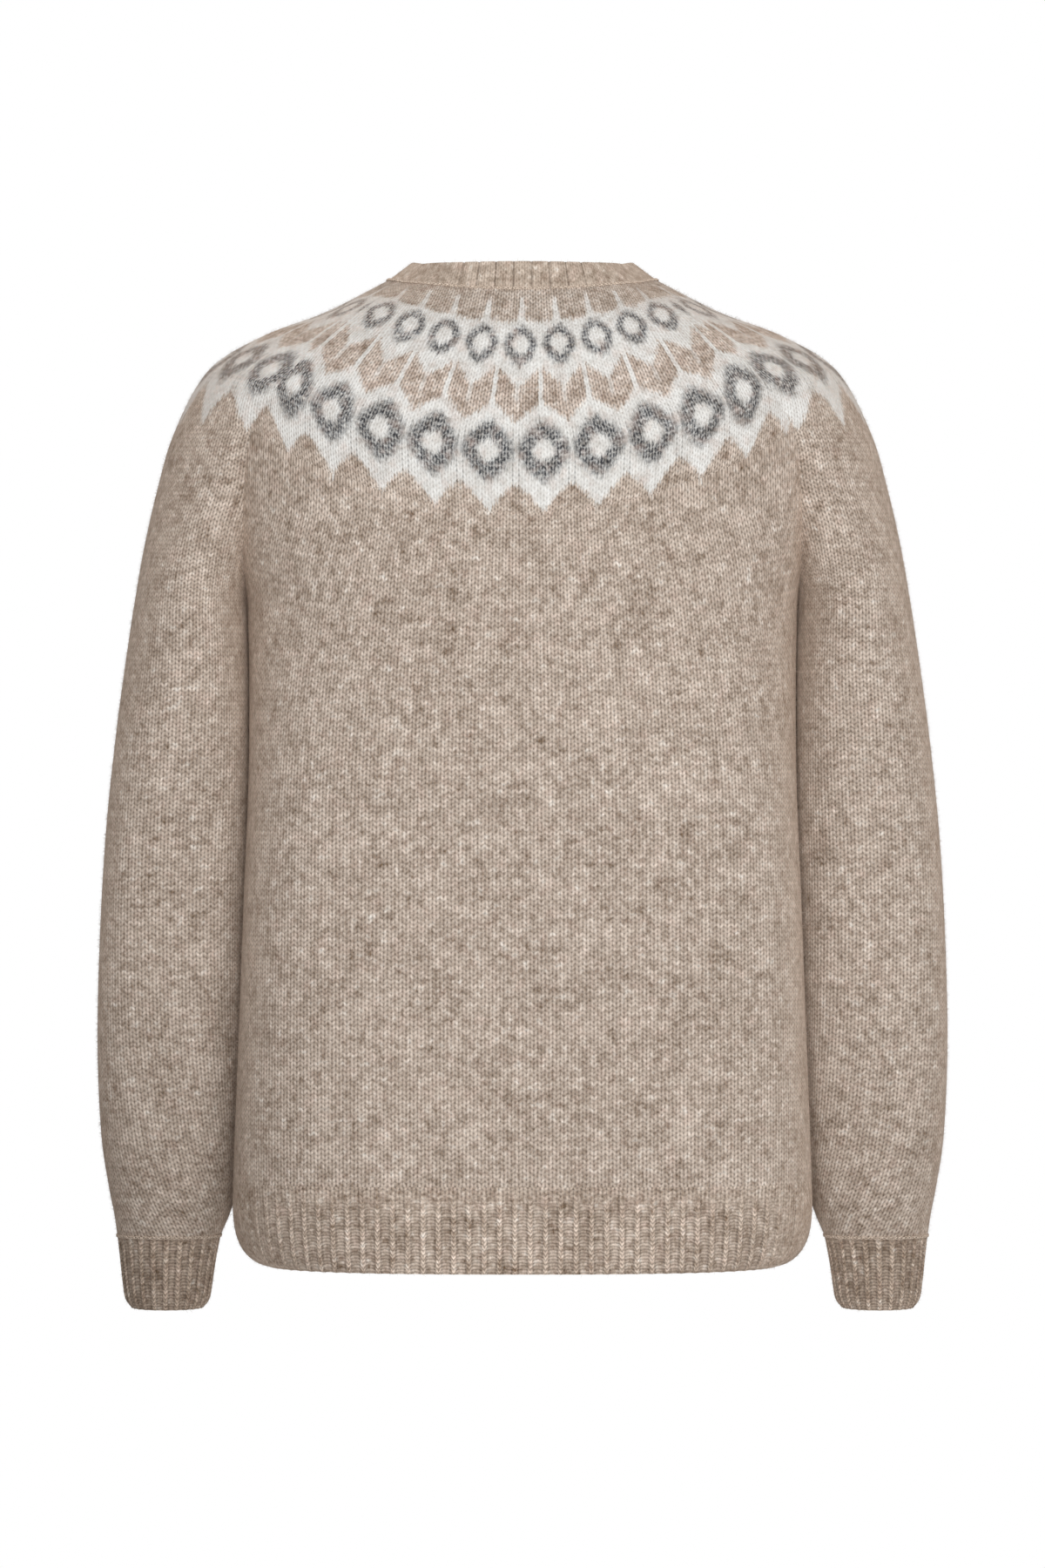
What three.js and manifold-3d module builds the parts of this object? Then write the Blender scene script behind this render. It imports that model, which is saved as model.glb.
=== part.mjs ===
// A knitted round-yoke cardigan, filled out as if worn, in millimetres.
//
// +Z is up, the front faces -Y and the wearer's left is +X. The origin is the middle of the
// neck opening, level with the highest point of the shoulder seam line.
//
// Every cloth piece starts as a grid of points on its outer face. Rows run down from the neck,
// and each row runs round anticlockwise as seen from above. Pieces that meet share the points
// of their seam, so one set of normals gives them all their inner faces, and then each piece
// is drawn back a little from its seams.

import * as THREE from 'three';
import { mergeVertices } from 'three/addons/utils/BufferGeometryUtils.js';
import Module from 'manifold-3d';

// Driving dimensions
const PANEL_WALL = 3; // brushed knit, with its pile
const RIB_WALL = 3.5;
const SEAM_GAP = 0.4; // between two pieces at a seam

const HEM_Z = -643; // lower edge of the body
const HEM_RIB_TOP_Z = -587;
const CUFF_SEAM_Z = -627;
const CUFF_END_Z = -675;

const BAND_WIDTH = 28; // button band and buttonhole band
const BAND_LIFT = RIB_WALL + SEAM_GAP; // from the button band's face to the buttonhole band's
const LIFT_REACH = 50; // the right front rises to its band over this width

const BUTTON_COUNT = 7;
const BUTTON_RADIUS = 7.5;
const BUTTON_THICKNESS = 3;
const BUTTON_DISH = 1.1; // how deep its face is dished
const BUTTON_SEAT = 0.3; // clearance from the band below
const BUTTON_HOLE_RADIUS = 0.9;
const BUTTON_HOLE_OFFSET = 2.1;
const FIRST_BUTTON_DROP = 8.5; // from the top of the band
const LAST_BUTTON_RISE = 22; // from the hem

const SLEEVE_CLEARANCE = 1; // between the body's side and the sleeve that hangs against it
const CLEARANCE_REACH = 0.08; // the share of the sleeve over which that clearance grows

// How many steps each grid has
const YOKE_STEPS = 11;
const BODY_STEPS = 7;
const RIB_STEPS = 5;
const SLEEVE_STEPS = 9;
const CUFF_STEPS = 4;
const HALF_BACK_COLUMNS = 10;
const FRONT_COLUMNS = 9;
const HALF_SLEEVE_COLUMNS = 10;
const BAND_COLUMNS = 2;
const NECKBAND_STEPS = 2;
const BUTTON_SIDES = 24;
const HOLE_SIDES = 8;

// The yoke, from the neck seam (first row) to the underarm (last row), on the wearer's left.
// backY, backZ and frontY, frontZ are the middle of the back and of the front.
// seamX is where the raglan seams lie. backDepth and frontDepth are half the sleeve's depth
// behind and before the shoulder line, and turn is the angle in degrees, round the sleeve from
// its outermost line, at which its two seams lie. seamBackZ and seamFrontZ are their heights.
// ridgeX and ridgeZ are the outermost line of the shoulder and sleeve. squareness is the
// exponent of the body's section.
const YOKE = {
  columns: ['backY', 'backZ', 'frontY', 'frontZ', 'squareness', 'seamX', 'turn',
    'backDepth', 'frontDepth', 'seamBackZ', 'seamFrontZ', 'ridgeX', 'ridgeZ'],
  rows: [
    [70, -9.5, -78, -66, 2.4, 77, 55, 37, 44, -3, -15, 88, 0],
    [98, -50, -97, -100, 2.4, 103, 55, 73, 76, -22, -40, 130, -21.5],
    [109, -83, -108, -130, 2.45, 132, 56, 88, 89, -46, -62, 171, -37],
    [115, -118, -114, -156, 2.5, 158, 60, 92.5, 92.5, -73, -85, 206, -59.5],
    [118, -156, -117, -178, 2.5, 175, 76, 80, 81, -103, -112, 228, -100],
    [119, -183, -119, -196, 2.55, 180, 98, 70, 71, -140, -148, 239, -137],
    [120, -204, -120, -209, 2.65, 181, 132, 70, 71, -182, -186, 248, -177],
    [120, -218, -120, -218, 2.7, 179.5, 180, 70, 70, -216, -216, 255, -218],
  ],
};

// The body below the underarm: height, half width, half depth and how square its section is,
// as the exponent of a squared ellipse (2 is an ellipse).
const BODY = {
  columns: ['z', 'halfWidth', 'halfDepth', 'squareness'],
  rows: [
    [-218, 179.5, 120, 2.7],
    [-265, 178.5, 121, 2.8],
    [-330, 178.8, 122, 2.95],
    [-400, 181.5, 122, 3.05],
    [-470, 184, 122, 3.1],
    [-540, 186.8, 122, 3.1],
    [HEM_RIB_TOP_Z, 188.5, 121, 3.05],
  ],
};

const HEM_RIB = {
  columns: ['z', 'halfWidth', 'halfDepth', 'squareness'],
  rows: [
    [HEM_RIB_TOP_Z, 188.5, 121, 3.05],
    [-606, 189, 120, 3],
    [-622, 187.2, 119, 2.9],
    [-633, 182.5, 118, 2.8],
    [-640, 175, 117.4, 2.75],
    [HEM_Z, 166.5, 117, 2.7],
  ],
};

// The left sleeve below the underarm. The arm hangs forward, and where innerX lies inside the
// body's side the sleeve is pressed flat against it.
const SLEEVE = {
  columns: ['z', 'innerX', 'outerX', 'halfDepth', 'middleY', 'squareness'],
  rows: [
    [-218, 179.5, 255, 70, 0, 2],
    [-255, 178, 260.5, 67, -3, 2.15],
    [-300, 177, 266.5, 64, -8, 2.35],
    [-360, 177.5, 273, 60, -16, 2.5],
    [-430, 179.5, 277.5, 56, -25, 2.6],
    [-500, 182.5, 279.5, 52, -33, 2.6],
    [-560, 185.5, 277.5, 48, -39, 2.55],
    [-596, 188.5, 272.5, 44, -42, 2.45],
    [-612, 193, 269.5, 40, -43, 2.35],
    [CUFF_SEAM_Z, 199.3, 267.5, 35, -44, 2.25],
  ],
};

const CUFF = {
  columns: ['z', 'innerX', 'outerX', 'halfDepth', 'middleY', 'squareness'],
  rows: [
    [CUFF_SEAM_Z, 199.3, 267.5, 35, -44, 2.25],
    [-643, 202.4, 265.8, 33.6, -44.3, 2.2],
    [-658, 204.6, 264.2, 32.4, -44.7, 2.15],
    [-669, 206.6, 262.4, 31.6, -44.9, 2.1],
    [CUFF_END_Z, 211, 258, 30.4, -45, 2.1],
  ],
};

// How the neckband leans in and rises from the neck seam, at three places round the neck:
// shrink multiplies the seam's x and y, and rise is added to its z.
const NECKBAND = {
  back: { shrink: 0.943, rise: 18 },
  side: { shrink: 0.864, rise: 9.5 },
  front: { shrink: 0.925, rise: 17 },
};

// Tables

// The value of one column, from 0 at the table's first row to 1 at its last, on a smooth curve.
function at(table, column, place) {
  const index = table.columns.indexOf(column);
  const value = (row) => table.rows[THREE.MathUtils.clamp(row, 0, table.rows.length - 1)][index];
  const along = THREE.MathUtils.clamp(place, 0, 1) * (table.rows.length - 1);
  const row = Math.min(Math.floor(along), table.rows.length - 2);
  const t = along - row;
  const start = value(row);
  const end = value(row + 1);
  const startSlope = row === 0 ? end - start : (end - value(row - 1)) / 2;
  const lastStep = row === table.rows.length - 2;
  const endSlope = lastStep ? end - start : (value(row + 2) - start) / 2;
  const rest = end - start;
  return start + t * startSlope
    + t * t * (3 * rest - 2 * startSlope - endSlope)
    + t * t * t * (startSlope + endSlope - 2 * rest);
}

// Where a height lies in a table that has a z column.
function placeOf(table, z) {
  let low = 0;
  let high = 1;
  for (let i = 0; i < HALVINGS; i += 1) {
    const middle = (low + high) / 2;
    if (at(table, 'z', middle) > z) low = middle;
    else high = middle;
  }
  return (low + high) / 2;
}

function steps(count) {
  return Array.from({ length: count + 1 }, (_, i) => i / count);
}

// Points at even distances along a line of points.
function evenly(line, count) {
  const lengths = [0];
  for (let i = 1; i < line.length; i += 1) {
    lengths.push(lengths[i - 1] + line[i].distanceTo(line[i - 1]));
  }
  const total = lengths[lengths.length - 1];
  return steps(count).map((share) => {
    const wanted = share * total;
    let i = 1;
    while (i < line.length - 1 && lengths[i] < wanted) i += 1;
    const t = (wanted - lengths[i - 1]) / (lengths[i] - lengths[i - 1]);
    return line[i - 1].clone().lerp(line[i], t);
  });
}

function mirrored(row) {
  return row.map((p) => new THREE.Vector3(-p.x, p.y, p.z)).reverse();
}

// Sections

const FINE = 160; // samples along a section before they are spaced evenly
const HALVINGS = 30; // of a table, when the place of a height is looked for

// From the middle of the back or front to its raglan or side seam: a squared ellipse cut off at
// the seam, that rises to the seam's height.
function quarter({ middleY, middleZ, seamX, seamY, seamZ, squareness, fromX = 0 }) {
  const cut = 1 - (Math.abs(seamY) / Math.abs(middleY)) ** squareness;
  const start = Math.asin(fromX / seamX);
  return steps(FINE).map((share) => {
    const x = seamX * Math.sin(start + share * (Math.PI / 2 - start));
    const across = x / seamX;
    const y = middleY * Math.max(0, 1 - across ** squareness * cut) ** (1 / squareness);
    return new THREE.Vector3(x, y, middleZ + (seamZ - middleZ) * across ** 2);
  });
}

function yokeSeam(place, depthColumn, sign) {
  const turn = THREE.MathUtils.degToRad(at(YOKE, 'turn', place));
  return sign * at(YOKE, depthColumn, place) * Math.max(0, Math.sin(turn));
}

function backQuarter(place) {
  return quarter({
    middleY: at(YOKE, 'backY', place),
    middleZ: at(YOKE, 'backZ', place),
    seamX: at(YOKE, 'seamX', place),
    seamY: yokeSeam(place, 'backDepth', 1),
    squareness: at(YOKE, 'squareness', place),
    seamZ: at(YOKE, 'seamBackZ', place),
  });
}

function frontQuarter(place) {
  return quarter({
    middleY: at(YOKE, 'frontY', place),
    middleZ: at(YOKE, 'frontZ', place),
    seamX: at(YOKE, 'seamX', place),
    seamY: yokeSeam(place, 'frontDepth', -1),
    squareness: at(YOKE, 'squareness', place),
    seamZ: at(YOKE, 'seamFrontZ', place),
    fromX: BAND_WIDTH / 2,
  });
}

function bodyQuarter(table, place, side, fromX) {
  return quarter({
    middleY: side * at(table, 'halfDepth', place),
    middleZ: at(table, 'z', place),
    seamX: at(table, 'halfWidth', place),
    seamY: 0,
    seamZ: at(table, 'z', place),
    squareness: at(table, 'squareness', place),
    fromX,
  });
}

// The sleeve's part of a yoke row, from its front seam over the shoulder to its back seam.
function yokeSleeveArc(place) {
  const turn = THREE.MathUtils.degToRad(at(YOKE, 'turn', place));
  const ridgeX = at(YOKE, 'ridgeX', place);
  const ridgeZ = at(YOKE, 'ridgeZ', place);
  const halfWidth = (ridgeX - at(YOKE, 'seamX', place)) / (1 - Math.cos(turn));
  return steps(FINE).map((share) => {
    const angle = turn * (2 * share - 1);
    const behind = angle > 0;
    const inward = (1 - Math.cos(angle)) / (1 - Math.cos(turn));
    const seamZ = at(YOKE, behind ? 'seamBackZ' : 'seamFrontZ', place);
    return new THREE.Vector3(
      ridgeX - halfWidth * (1 - Math.cos(angle)),
      at(YOKE, behind ? 'backDepth' : 'frontDepth', place) * Math.sin(angle),
      ridgeZ + (seamZ - ridgeZ) * inward,
    );
  });
}

// How far out the body's side reaches at a height and a depth.
function bodySideX(z, y) {
  const table = z > HEM_RIB_TOP_Z ? BODY : HEM_RIB;
  const place = placeOf(table, z);
  const squareness = at(table, 'squareness', place);
  const across = Math.min(1, Math.abs(y) / at(table, 'halfDepth', place));
  return at(table, 'halfWidth', place) * (1 - across ** squareness) ** (1 / squareness);
}

function squared(value, power) {
  return Math.sign(value) * Math.abs(value) ** power;
}

// A whole ring of the sleeve below the underarm, from its innermost line round the front.
function sleeveRing(table, place) {
  const innerX = at(table, 'innerX', place);
  const outerX = at(table, 'outerX', place);
  const z = at(table, 'z', place);
  const power = 2 / at(table, 'squareness', place);
  const clear = SLEEVE_CLEARANCE * Math.min(1, place / CLEARANCE_REACH);
  return steps(FINE).map((share) => {
    const angle = Math.PI * (2 * share - 1);
    const x = (innerX + outerX) / 2 + (outerX - innerX) / 2 * squared(Math.cos(angle), power);
    const y = at(table, 'middleY', place)
      + at(table, 'halfDepth', place) * squared(Math.sin(angle), power);
    const side = z < HEM_Z ? 0 : bodySideX(z, y) + clear;
    return new THREE.Vector3(Math.max(x, side), y, z);
  });
}

// Grids of the left side and of the middle

function backRow(line) {
  const left = evenly(line, HALF_BACK_COLUMNS).reverse();
  return [...left, ...mirrored(left).slice(1)];
}

// The line's middle is the sleeve's outermost line, and each half is spaced evenly.
function sleeveRow(line) {
  const middle = FINE / 2;
  return [
    ...evenly(line.slice(0, middle + 1), HALF_SLEEVE_COLUMNS),
    ...evenly(line.slice(middle), HALF_SLEEVE_COLUMNS).slice(1),
  ];
}

const yokeBack = steps(YOKE_STEPS).map((place) => backRow(backQuarter(place)));
const yokeFront = steps(YOKE_STEPS).map((place) => evenly(frontQuarter(place), FRONT_COLUMNS));
const yokeSleeve = steps(YOKE_STEPS).map((place) => sleeveRow(yokeSleeveArc(place)));

const bodyBack = steps(BODY_STEPS).map((place) => backRow(bodyQuarter(BODY, place, 1, 0)));
const bodyFront = steps(BODY_STEPS).map((place) => (
  evenly(bodyQuarter(BODY, place, -1, BAND_WIDTH / 2), FRONT_COLUMNS)));
const ribBack = steps(RIB_STEPS).map((place) => backRow(bodyQuarter(HEM_RIB, place, 1, 0)));
const ribFront = steps(RIB_STEPS).map((place) => (
  evenly(bodyQuarter(HEM_RIB, place, -1, BAND_WIDTH / 2), FRONT_COLUMNS)));

const lowerSleeve = steps(SLEEVE_STEPS).map((place) => sleeveRow(sleeveRing(SLEEVE, place)));
const cuffLeft = steps(CUFF_STEPS).map((place) => sleeveRow(sleeveRing(CUFF, place)));

// The last yoke row and the first body row are the same row, and the yoke's is the one kept.
const backGrid = [...yokeBack, ...bodyBack.slice(1)];
const frontGrid = [...yokeFront, ...bodyFront.slice(1)];
const sleeveGrid = [...yokeSleeve, ...lowerSleeve.slice(1)];

// The neckband stands on the neck seam, which is the first row of every panel in turn.
function neckbandPoint(seam, rise) {
  const facing = seam.y / Math.hypot(seam.x, seam.y);
  const place = facing > 0 ? NECKBAND.back : NECKBAND.front;
  const share = facing * facing;
  const shrink = THREE.MathUtils.lerp(NECKBAND.side.shrink, place.shrink, share);
  const height = THREE.MathUtils.lerp(NECKBAND.side.rise, place.rise, share);
  const scale = THREE.MathUtils.lerp(1, shrink, rise);
  return new THREE.Vector3(seam.x * scale, seam.y * scale, seam.z + height * rise);
}

// The left front's edge, from the top of the neckband to the hem. Both bands follow it.
const risesDown = steps(NECKBAND_STEPS).reverse();
const frontEdge = [
  ...risesDown.map((rise) => neckbandPoint(frontGrid[0][0], rise)),
  ...frontGrid.slice(1).map((row) => row[0]),
  ...ribFront.slice(1).map((row) => row[0]),
];
const FRONT_START = NECKBAND_STEPS; // the edge's index at the neck seam
const RIB_START = FRONT_START + YOKE_STEPS + BODY_STEPS;

// From the button band's face to the buttonhole band's, square to the edge.
const edgeLifts = frontEdge.map((_, i) => {
  const above = frontEdge[Math.max(0, i - 1)];
  const below = frontEdge[Math.min(frontEdge.length - 1, i + 1)];
  const lift = new THREE.Vector3(0, below.z - above.z, above.y - below.y);
  return lift.setLength(BAND_LIFT);
});

function bandGrid(lift) {
  return frontEdge.map((edge, i) => steps(BAND_COLUMNS).map((share) => {
    const point = edge.clone().addScaledVector(edgeLifts[i], lift);
    point.x = BAND_WIDTH * (share - 0.5);
    return point;
  }));
}

const buttonBand = bandGrid(0);
const buttonholeBand = bandGrid(1);

// The right front rises to the buttonhole band, which lies outside the button band.
function liftedRow(row, i) {
  return mirrored(row).map((point) => {
    const away = -point.x - BAND_WIDTH / 2;
    const near = 1 - THREE.MathUtils.smoothstep(away, 0, LIFT_REACH);
    return point.addScaledVector(edgeLifts[i], near);
  });
}

const frontRightGrid = frontGrid.map((row, r) => liftedRow(row, FRONT_START + r));
const ribFrontRight = ribFront.map((row, r) => liftedRow(row, RIB_START + r));

const neckSeam = [
  ...yokeFront[0],
  ...yokeSleeve[0].slice(1),
  ...yokeBack[0].slice(1),
  ...mirrored(yokeSleeve[0]).slice(1),
  ...frontRightGrid[0].slice(1),
];
const neckbandGrid = risesDown.map((rise, r) => {
  const row = neckSeam.map((seam) => neckbandPoint(seam, rise));
  // Its ends meet the two bands.
  row[0] = buttonBand[r][BAND_COLUMNS].clone();
  row[row.length - 1] = buttonholeBand[r][0].clone();
  return row;
});

// Walls

const SAME_POINT = 1e-4; // points nearer than this are merged

// Outward normals at every point, shared by all the pieces that have that point.
function sharedNormals(pieces) {
  const sums = new Map();
  const key = (p) => [p.x, p.y, p.z].map((value) => Math.round(value * 1000)).join(' ');
  const add = (p, normal) => {
    if (!sums.has(key(p))) sums.set(key(p), new THREE.Vector3());
    sums.get(key(p)).add(normal);
  };
  for (const { grid } of pieces) {
    for (let r = 0; r + 1 < grid.length; r += 1) {
      for (let c = 0; c + 1 < grid[r].length; c += 1) {
        const corners = [grid[r][c], grid[r + 1][c], grid[r + 1][c + 1], grid[r][c + 1]];
        const down = corners[2].clone().sub(corners[0]);
        const along = corners[3].clone().sub(corners[1]);
        const normal = down.cross(along).normalize();
        corners.forEach((corner) => add(corner, normal));
      }
    }
  }
  return (p) => sums.get(key(p)).clone().normalize();
}

function drawBack(point, neighbour) {
  return neighbour.clone().sub(point).setLength(SEAM_GAP / 2).add(point);
}

// A grid drawn back from the seams named in sides. Rows from closedFrom on are whole rings.
function atSeams(grid, sides, closedFrom) {
  const moved = grid.map((row) => row.map((p) => p.clone()));
  const last = grid.length - 1;
  if (sides.includes('top')) {
    moved[0] = moved[0].map((p, c) => drawBack(p, grid[1][c]));
  }
  if (sides.includes('bottom')) {
    moved[last] = moved[last].map((p, c) => drawBack(p, grid[last - 1][c]));
  }
  moved.forEach((row, r) => {
    const end = row.length - 1;
    if (r === closedFrom && r > 0) { // the point where the underarm seams meet
      const across = grid[r][1].clone().lerp(grid[r][end - 1], 0.5);
      row[0] = drawBack(row[0], across);
    }
    if (r >= closedFrom) return;
    const inward = grid[r].map((p, c) => (
      drawBack(p, grid[r][c === 0 ? 1 : c - 1]).sub(p)));
    if (sides.includes('start')) row[0].add(inward[0]);
    if (sides.includes('end')) row[end].add(inward[end]);
  });
  return moved;
}

// A closed solid between an outer and an inner grid.
function wall(outer, inner, closedFrom) {
  const rows = outer.length;
  const columns = outer[0].length;
  const points = [...outer.flat(), ...inner.flat()];
  const index = (side, r, c) => {
    const column = r >= closedFrom && c === columns - 1 ? 0 : c;
    return side * rows * columns + r * columns + column;
  };
  const triangles = [];
  // Each quad is split along its shorter diagonal.
  const quad = (a, b, c, d) => {
    const short = points[a].distanceTo(points[c]) <= points[b].distanceTo(points[d]);
    triangles.push(...(short ? [a, b, c, a, c, d] : [a, b, d, b, c, d]));
  };
  for (let r = 0; r + 1 < rows; r += 1) {
    for (let c = 0; c + 1 < columns; c += 1) {
      quad(index(0, r, c), index(0, r + 1, c), index(0, r + 1, c + 1), index(0, r, c + 1));
      quad(index(1, r, c), index(1, r, c + 1), index(1, r + 1, c + 1), index(1, r + 1, c));
    }
    if (r < closedFrom) {
      const end = columns - 1;
      quad(index(0, r, 0), index(1, r, 0), index(1, r + 1, 0), index(0, r + 1, 0));
      quad(index(0, r, end), index(0, r + 1, end), index(1, r + 1, end), index(1, r, end));
    }
  }
  const bottom = rows - 1;
  for (let c = 0; c + 1 < columns; c += 1) {
    quad(index(0, 0, c), index(0, 0, c + 1), index(1, 0, c + 1), index(1, 0, c));
    quad(index(0, bottom, c), index(1, bottom, c), index(1, bottom, c + 1),
      index(0, bottom, c + 1));
  }
  const geometry = new THREE.BufferGeometry();
  geometry.setAttribute('position', new THREE.Float32BufferAttribute(
    points.flatMap((p) => [p.x, p.y, p.z]), 3));
  geometry.setIndex(triangles);
  return mergeVertices(geometry, SAME_POINT);
}

const OPEN = Infinity;
const sleeveRightGrid = sleeveGrid.map(mirrored);
const allSides = ['top', 'bottom', 'start', 'end'];
const cloth = [
  { name: 'back', grid: backGrid, sides: allSides },
  { name: 'front_left', grid: frontGrid, sides: allSides },
  { name: 'front_right', grid: frontRightGrid, sides: allSides },
  { name: 'sleeve_left', grid: sleeveGrid, sides: allSides, closedFrom: YOKE_STEPS },
  { name: 'sleeve_right', grid: sleeveRightGrid, sides: allSides, closedFrom: YOKE_STEPS },
  { name: 'hem_rib_back', grid: ribBack, sides: ['top', 'start', 'end'], rib: true },
  { name: 'hem_rib_front_left', grid: ribFront, sides: ['top', 'start', 'end'], rib: true },
  { name: 'hem_rib_front_right', grid: ribFrontRight, sides: ['top', 'start', 'end'], rib: true },
  { name: 'cuff_left', grid: cuffLeft, sides: ['top'], closedFrom: 0, rib: true },
  { name: 'cuff_right', grid: cuffLeft.map(mirrored), sides: ['top'], closedFrom: 0, rib: true },
  { name: 'neckband', grid: neckbandGrid, sides: ['bottom', 'start', 'end'], rib: true },
  { name: 'button_band', grid: buttonBand, sides: ['end'] },
  { name: 'buttonhole_band', grid: buttonholeBand, sides: ['start'] },
];

// Finishes

const yarn = { color: 0xb4a18f, roughness: 0.95, metalness: 0 };
const ribYarn = { color: 0xa8947f, roughness: 0.95, metalness: 0 };
const horn = { color: 0x5d4a3c, roughness: 0.35, metalness: 0 };

function addPiece(group, name, geometry, finish) {
  const mesh = new THREE.Mesh(geometry, new THREE.MeshStandardMaterial(finish));
  mesh.name = name;
  group.add(mesh);
  return mesh;
}

function addCloth(group) {
  const normalAt = sharedNormals(cloth);
  for (const { name, grid, sides, closedFrom = OPEN, rib = false } of cloth) {
    const thickness = rib ? RIB_WALL : PANEL_WALL;
    const inner = grid.map((row) => row.map((p) => (
      p.clone().addScaledVector(normalAt(p), -thickness))));
    const geometry = wall(
      atSeams(grid, sides, closedFrom),
      atSeams(inner, sides, closedFrom),
      closedFrom,
    );
    addPiece(group, name, geometry, rib ? ribYarn : yarn);
  }
}

// Buttons

const wasm = await Module();
wasm.setup();

function toSolid(geometry) {
  const bare = geometry.clone();
  bare.deleteAttribute('normal');
  bare.deleteAttribute('uv');
  const merged = mergeVertices(bare, SAME_POINT);
  return new wasm.Manifold(new wasm.Mesh({
    numProp: 3,
    vertProperties: new Float32Array(merged.attributes.position.array),
    triVerts: new Uint32Array(merged.index.array),
  }));
}

function toGeometry(solid) {
  const mesh = solid.getMesh();
  const geometry = new THREE.BufferGeometry();
  geometry.setAttribute('position', new THREE.BufferAttribute(mesh.vertProperties, 3));
  geometry.setIndex(new THREE.BufferAttribute(mesh.triVerts, 1));
  return geometry;
}

// A dished button with four holes, its back on the plane y = 0 and its face towards -Y.
function buttonGeometry() {
  const floor = 1 - BUTTON_DISH / BUTTON_THICKNESS;
  const profile = [ // shares of the radius and of the thickness
    [0, 0],
    [0.8, 0],
    [1, 0.45],
    [0.94, 0.9],
    [0.8, 1],
    [0.6, floor],
    [0, floor],
  ].map(([out, up]) => new THREE.Vector2(out * BUTTON_RADIUS, up * BUTTON_THICKNESS));
  const body = new THREE.LatheGeometry(profile, BUTTON_SIDES);
  let solid = toSolid(body);
  for (const [sideways, along] of [[1, 1], [1, -1], [-1, 1], [-1, -1]]) {
    const drill = new THREE.CylinderGeometry(
      BUTTON_HOLE_RADIUS, BUTTON_HOLE_RADIUS, BUTTON_THICKNESS * 3, HOLE_SIDES);
    drill.translate(sideways * BUTTON_HOLE_OFFSET, 0, along * BUTTON_HOLE_OFFSET);
    solid = solid.subtract(toSolid(drill));
  }
  const geometry = toGeometry(solid);
  geometry.rotateX(Math.PI / 2); // the lathe's axis +Y becomes +Z
  geometry.rotateX(Math.PI / 2); // and then -Y
  return geometry;
}

// The buttonhole band's outer face at a given height, and its lean.
function bandFace(z) {
  const face = buttonholeBand.map((row) => row[1]);
  let i = 1;
  while (i < face.length - 1 && face[i].z > z) i += 1;
  const [above, below] = [face[i - 1], face[i]];
  return {
    y: THREE.MathUtils.mapLinear(z, above.z, below.z, above.y, below.y),
    lean: Math.atan2(below.y - above.y, above.z - below.z),
  };
}

function addButtons(group) {
  const top = frontEdge[0].z - FIRST_BUTTON_DROP;
  const bottom = HEM_Z + LAST_BUTTON_RISE;
  steps(BUTTON_COUNT - 1).forEach((share, i) => {
    const z = THREE.MathUtils.lerp(top, bottom, share);
    const { y, lean } = bandFace(z);
    const mesh = addPiece(group, `button_${i + 1}`, buttonGeometry(), horn);
    mesh.rotation.x = lean;
    mesh.position.set(0, y - BUTTON_SEAT / Math.cos(lean), z);
  });
}

const cardigan = new THREE.Group();
addCloth(cardigan);
addButtons(cardigan);

export default cardigan;
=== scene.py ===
# %% [markdown]
# # A knitted round-yoke cardigan
#
# The real object is a women's cardigan in brushed, heathered wool, with a traditional colourwork
# band round its yoke, filled out as if somebody wore it. The CAD frame gives each maker's piece
# as a plain closed solid. This lesson dresses that frame: each piece becomes a fine knitted
# sheet, with ribs, seams, buttons and yarn.
#
# Everything is in metres, +Z is up, the front faces -Y and the wearer's left is +X. The loader
# leaves the frame's nodes selected, so they are deselected before any operator runs.

# %% The frame
import math
from functools import partialmethod

import bpy
import numpy as np
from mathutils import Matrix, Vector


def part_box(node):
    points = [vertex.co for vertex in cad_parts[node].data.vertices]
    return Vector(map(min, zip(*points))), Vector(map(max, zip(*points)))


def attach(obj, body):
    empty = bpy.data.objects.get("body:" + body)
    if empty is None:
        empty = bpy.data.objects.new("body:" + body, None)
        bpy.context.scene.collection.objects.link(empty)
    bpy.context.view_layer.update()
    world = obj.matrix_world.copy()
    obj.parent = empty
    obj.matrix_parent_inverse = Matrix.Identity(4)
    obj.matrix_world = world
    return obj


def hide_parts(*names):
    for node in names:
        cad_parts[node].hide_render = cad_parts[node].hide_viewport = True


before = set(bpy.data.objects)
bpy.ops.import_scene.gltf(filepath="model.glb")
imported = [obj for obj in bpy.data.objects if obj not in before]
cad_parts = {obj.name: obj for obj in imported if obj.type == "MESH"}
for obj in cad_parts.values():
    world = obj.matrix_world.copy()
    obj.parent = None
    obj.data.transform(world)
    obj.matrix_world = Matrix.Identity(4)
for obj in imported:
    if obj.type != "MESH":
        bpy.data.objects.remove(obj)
bpy.ops.object.select_all(action="DESELECT")
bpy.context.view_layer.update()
print("its pieces:", ", ".join(sorted(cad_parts)))

# %% [markdown]
# ## The studio
#
# A garment is shown from far away with a long lens, so that the sleeves don't look larger than
# the back: the camera stands five metres behind it, level with its middle. Light comes from a
# soft box at the camera, one above it on the right, one in front of the garment, and the white
# room. The camera sees that room as pure white, while the cloth gets only a part of its light
# from it: the Light Path node tells the two apart. Three black flags, unseen by the camera, keep
# some of the light off the left side and the lower sleeves.

# %% Camera, room, lights and floor
CAMERA_AWAY = 5.0
CAMERA_LEVEL = -0.3293
LENS = 175.4
ROOM_LIGHT = 0.44
FLOOR_Z = -0.95
UPRIGHT = math.pi / 2

bpy.ops.object.camera_add(location=(0, CAMERA_AWAY, CAMERA_LEVEL), rotation=(UPRIGHT, 0, math.pi))
camera = bpy.context.object
camera.data.lens = LENS
scene = bpy.context.scene
scene.camera = camera
scene.view_settings.view_transform = "Standard"

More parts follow.
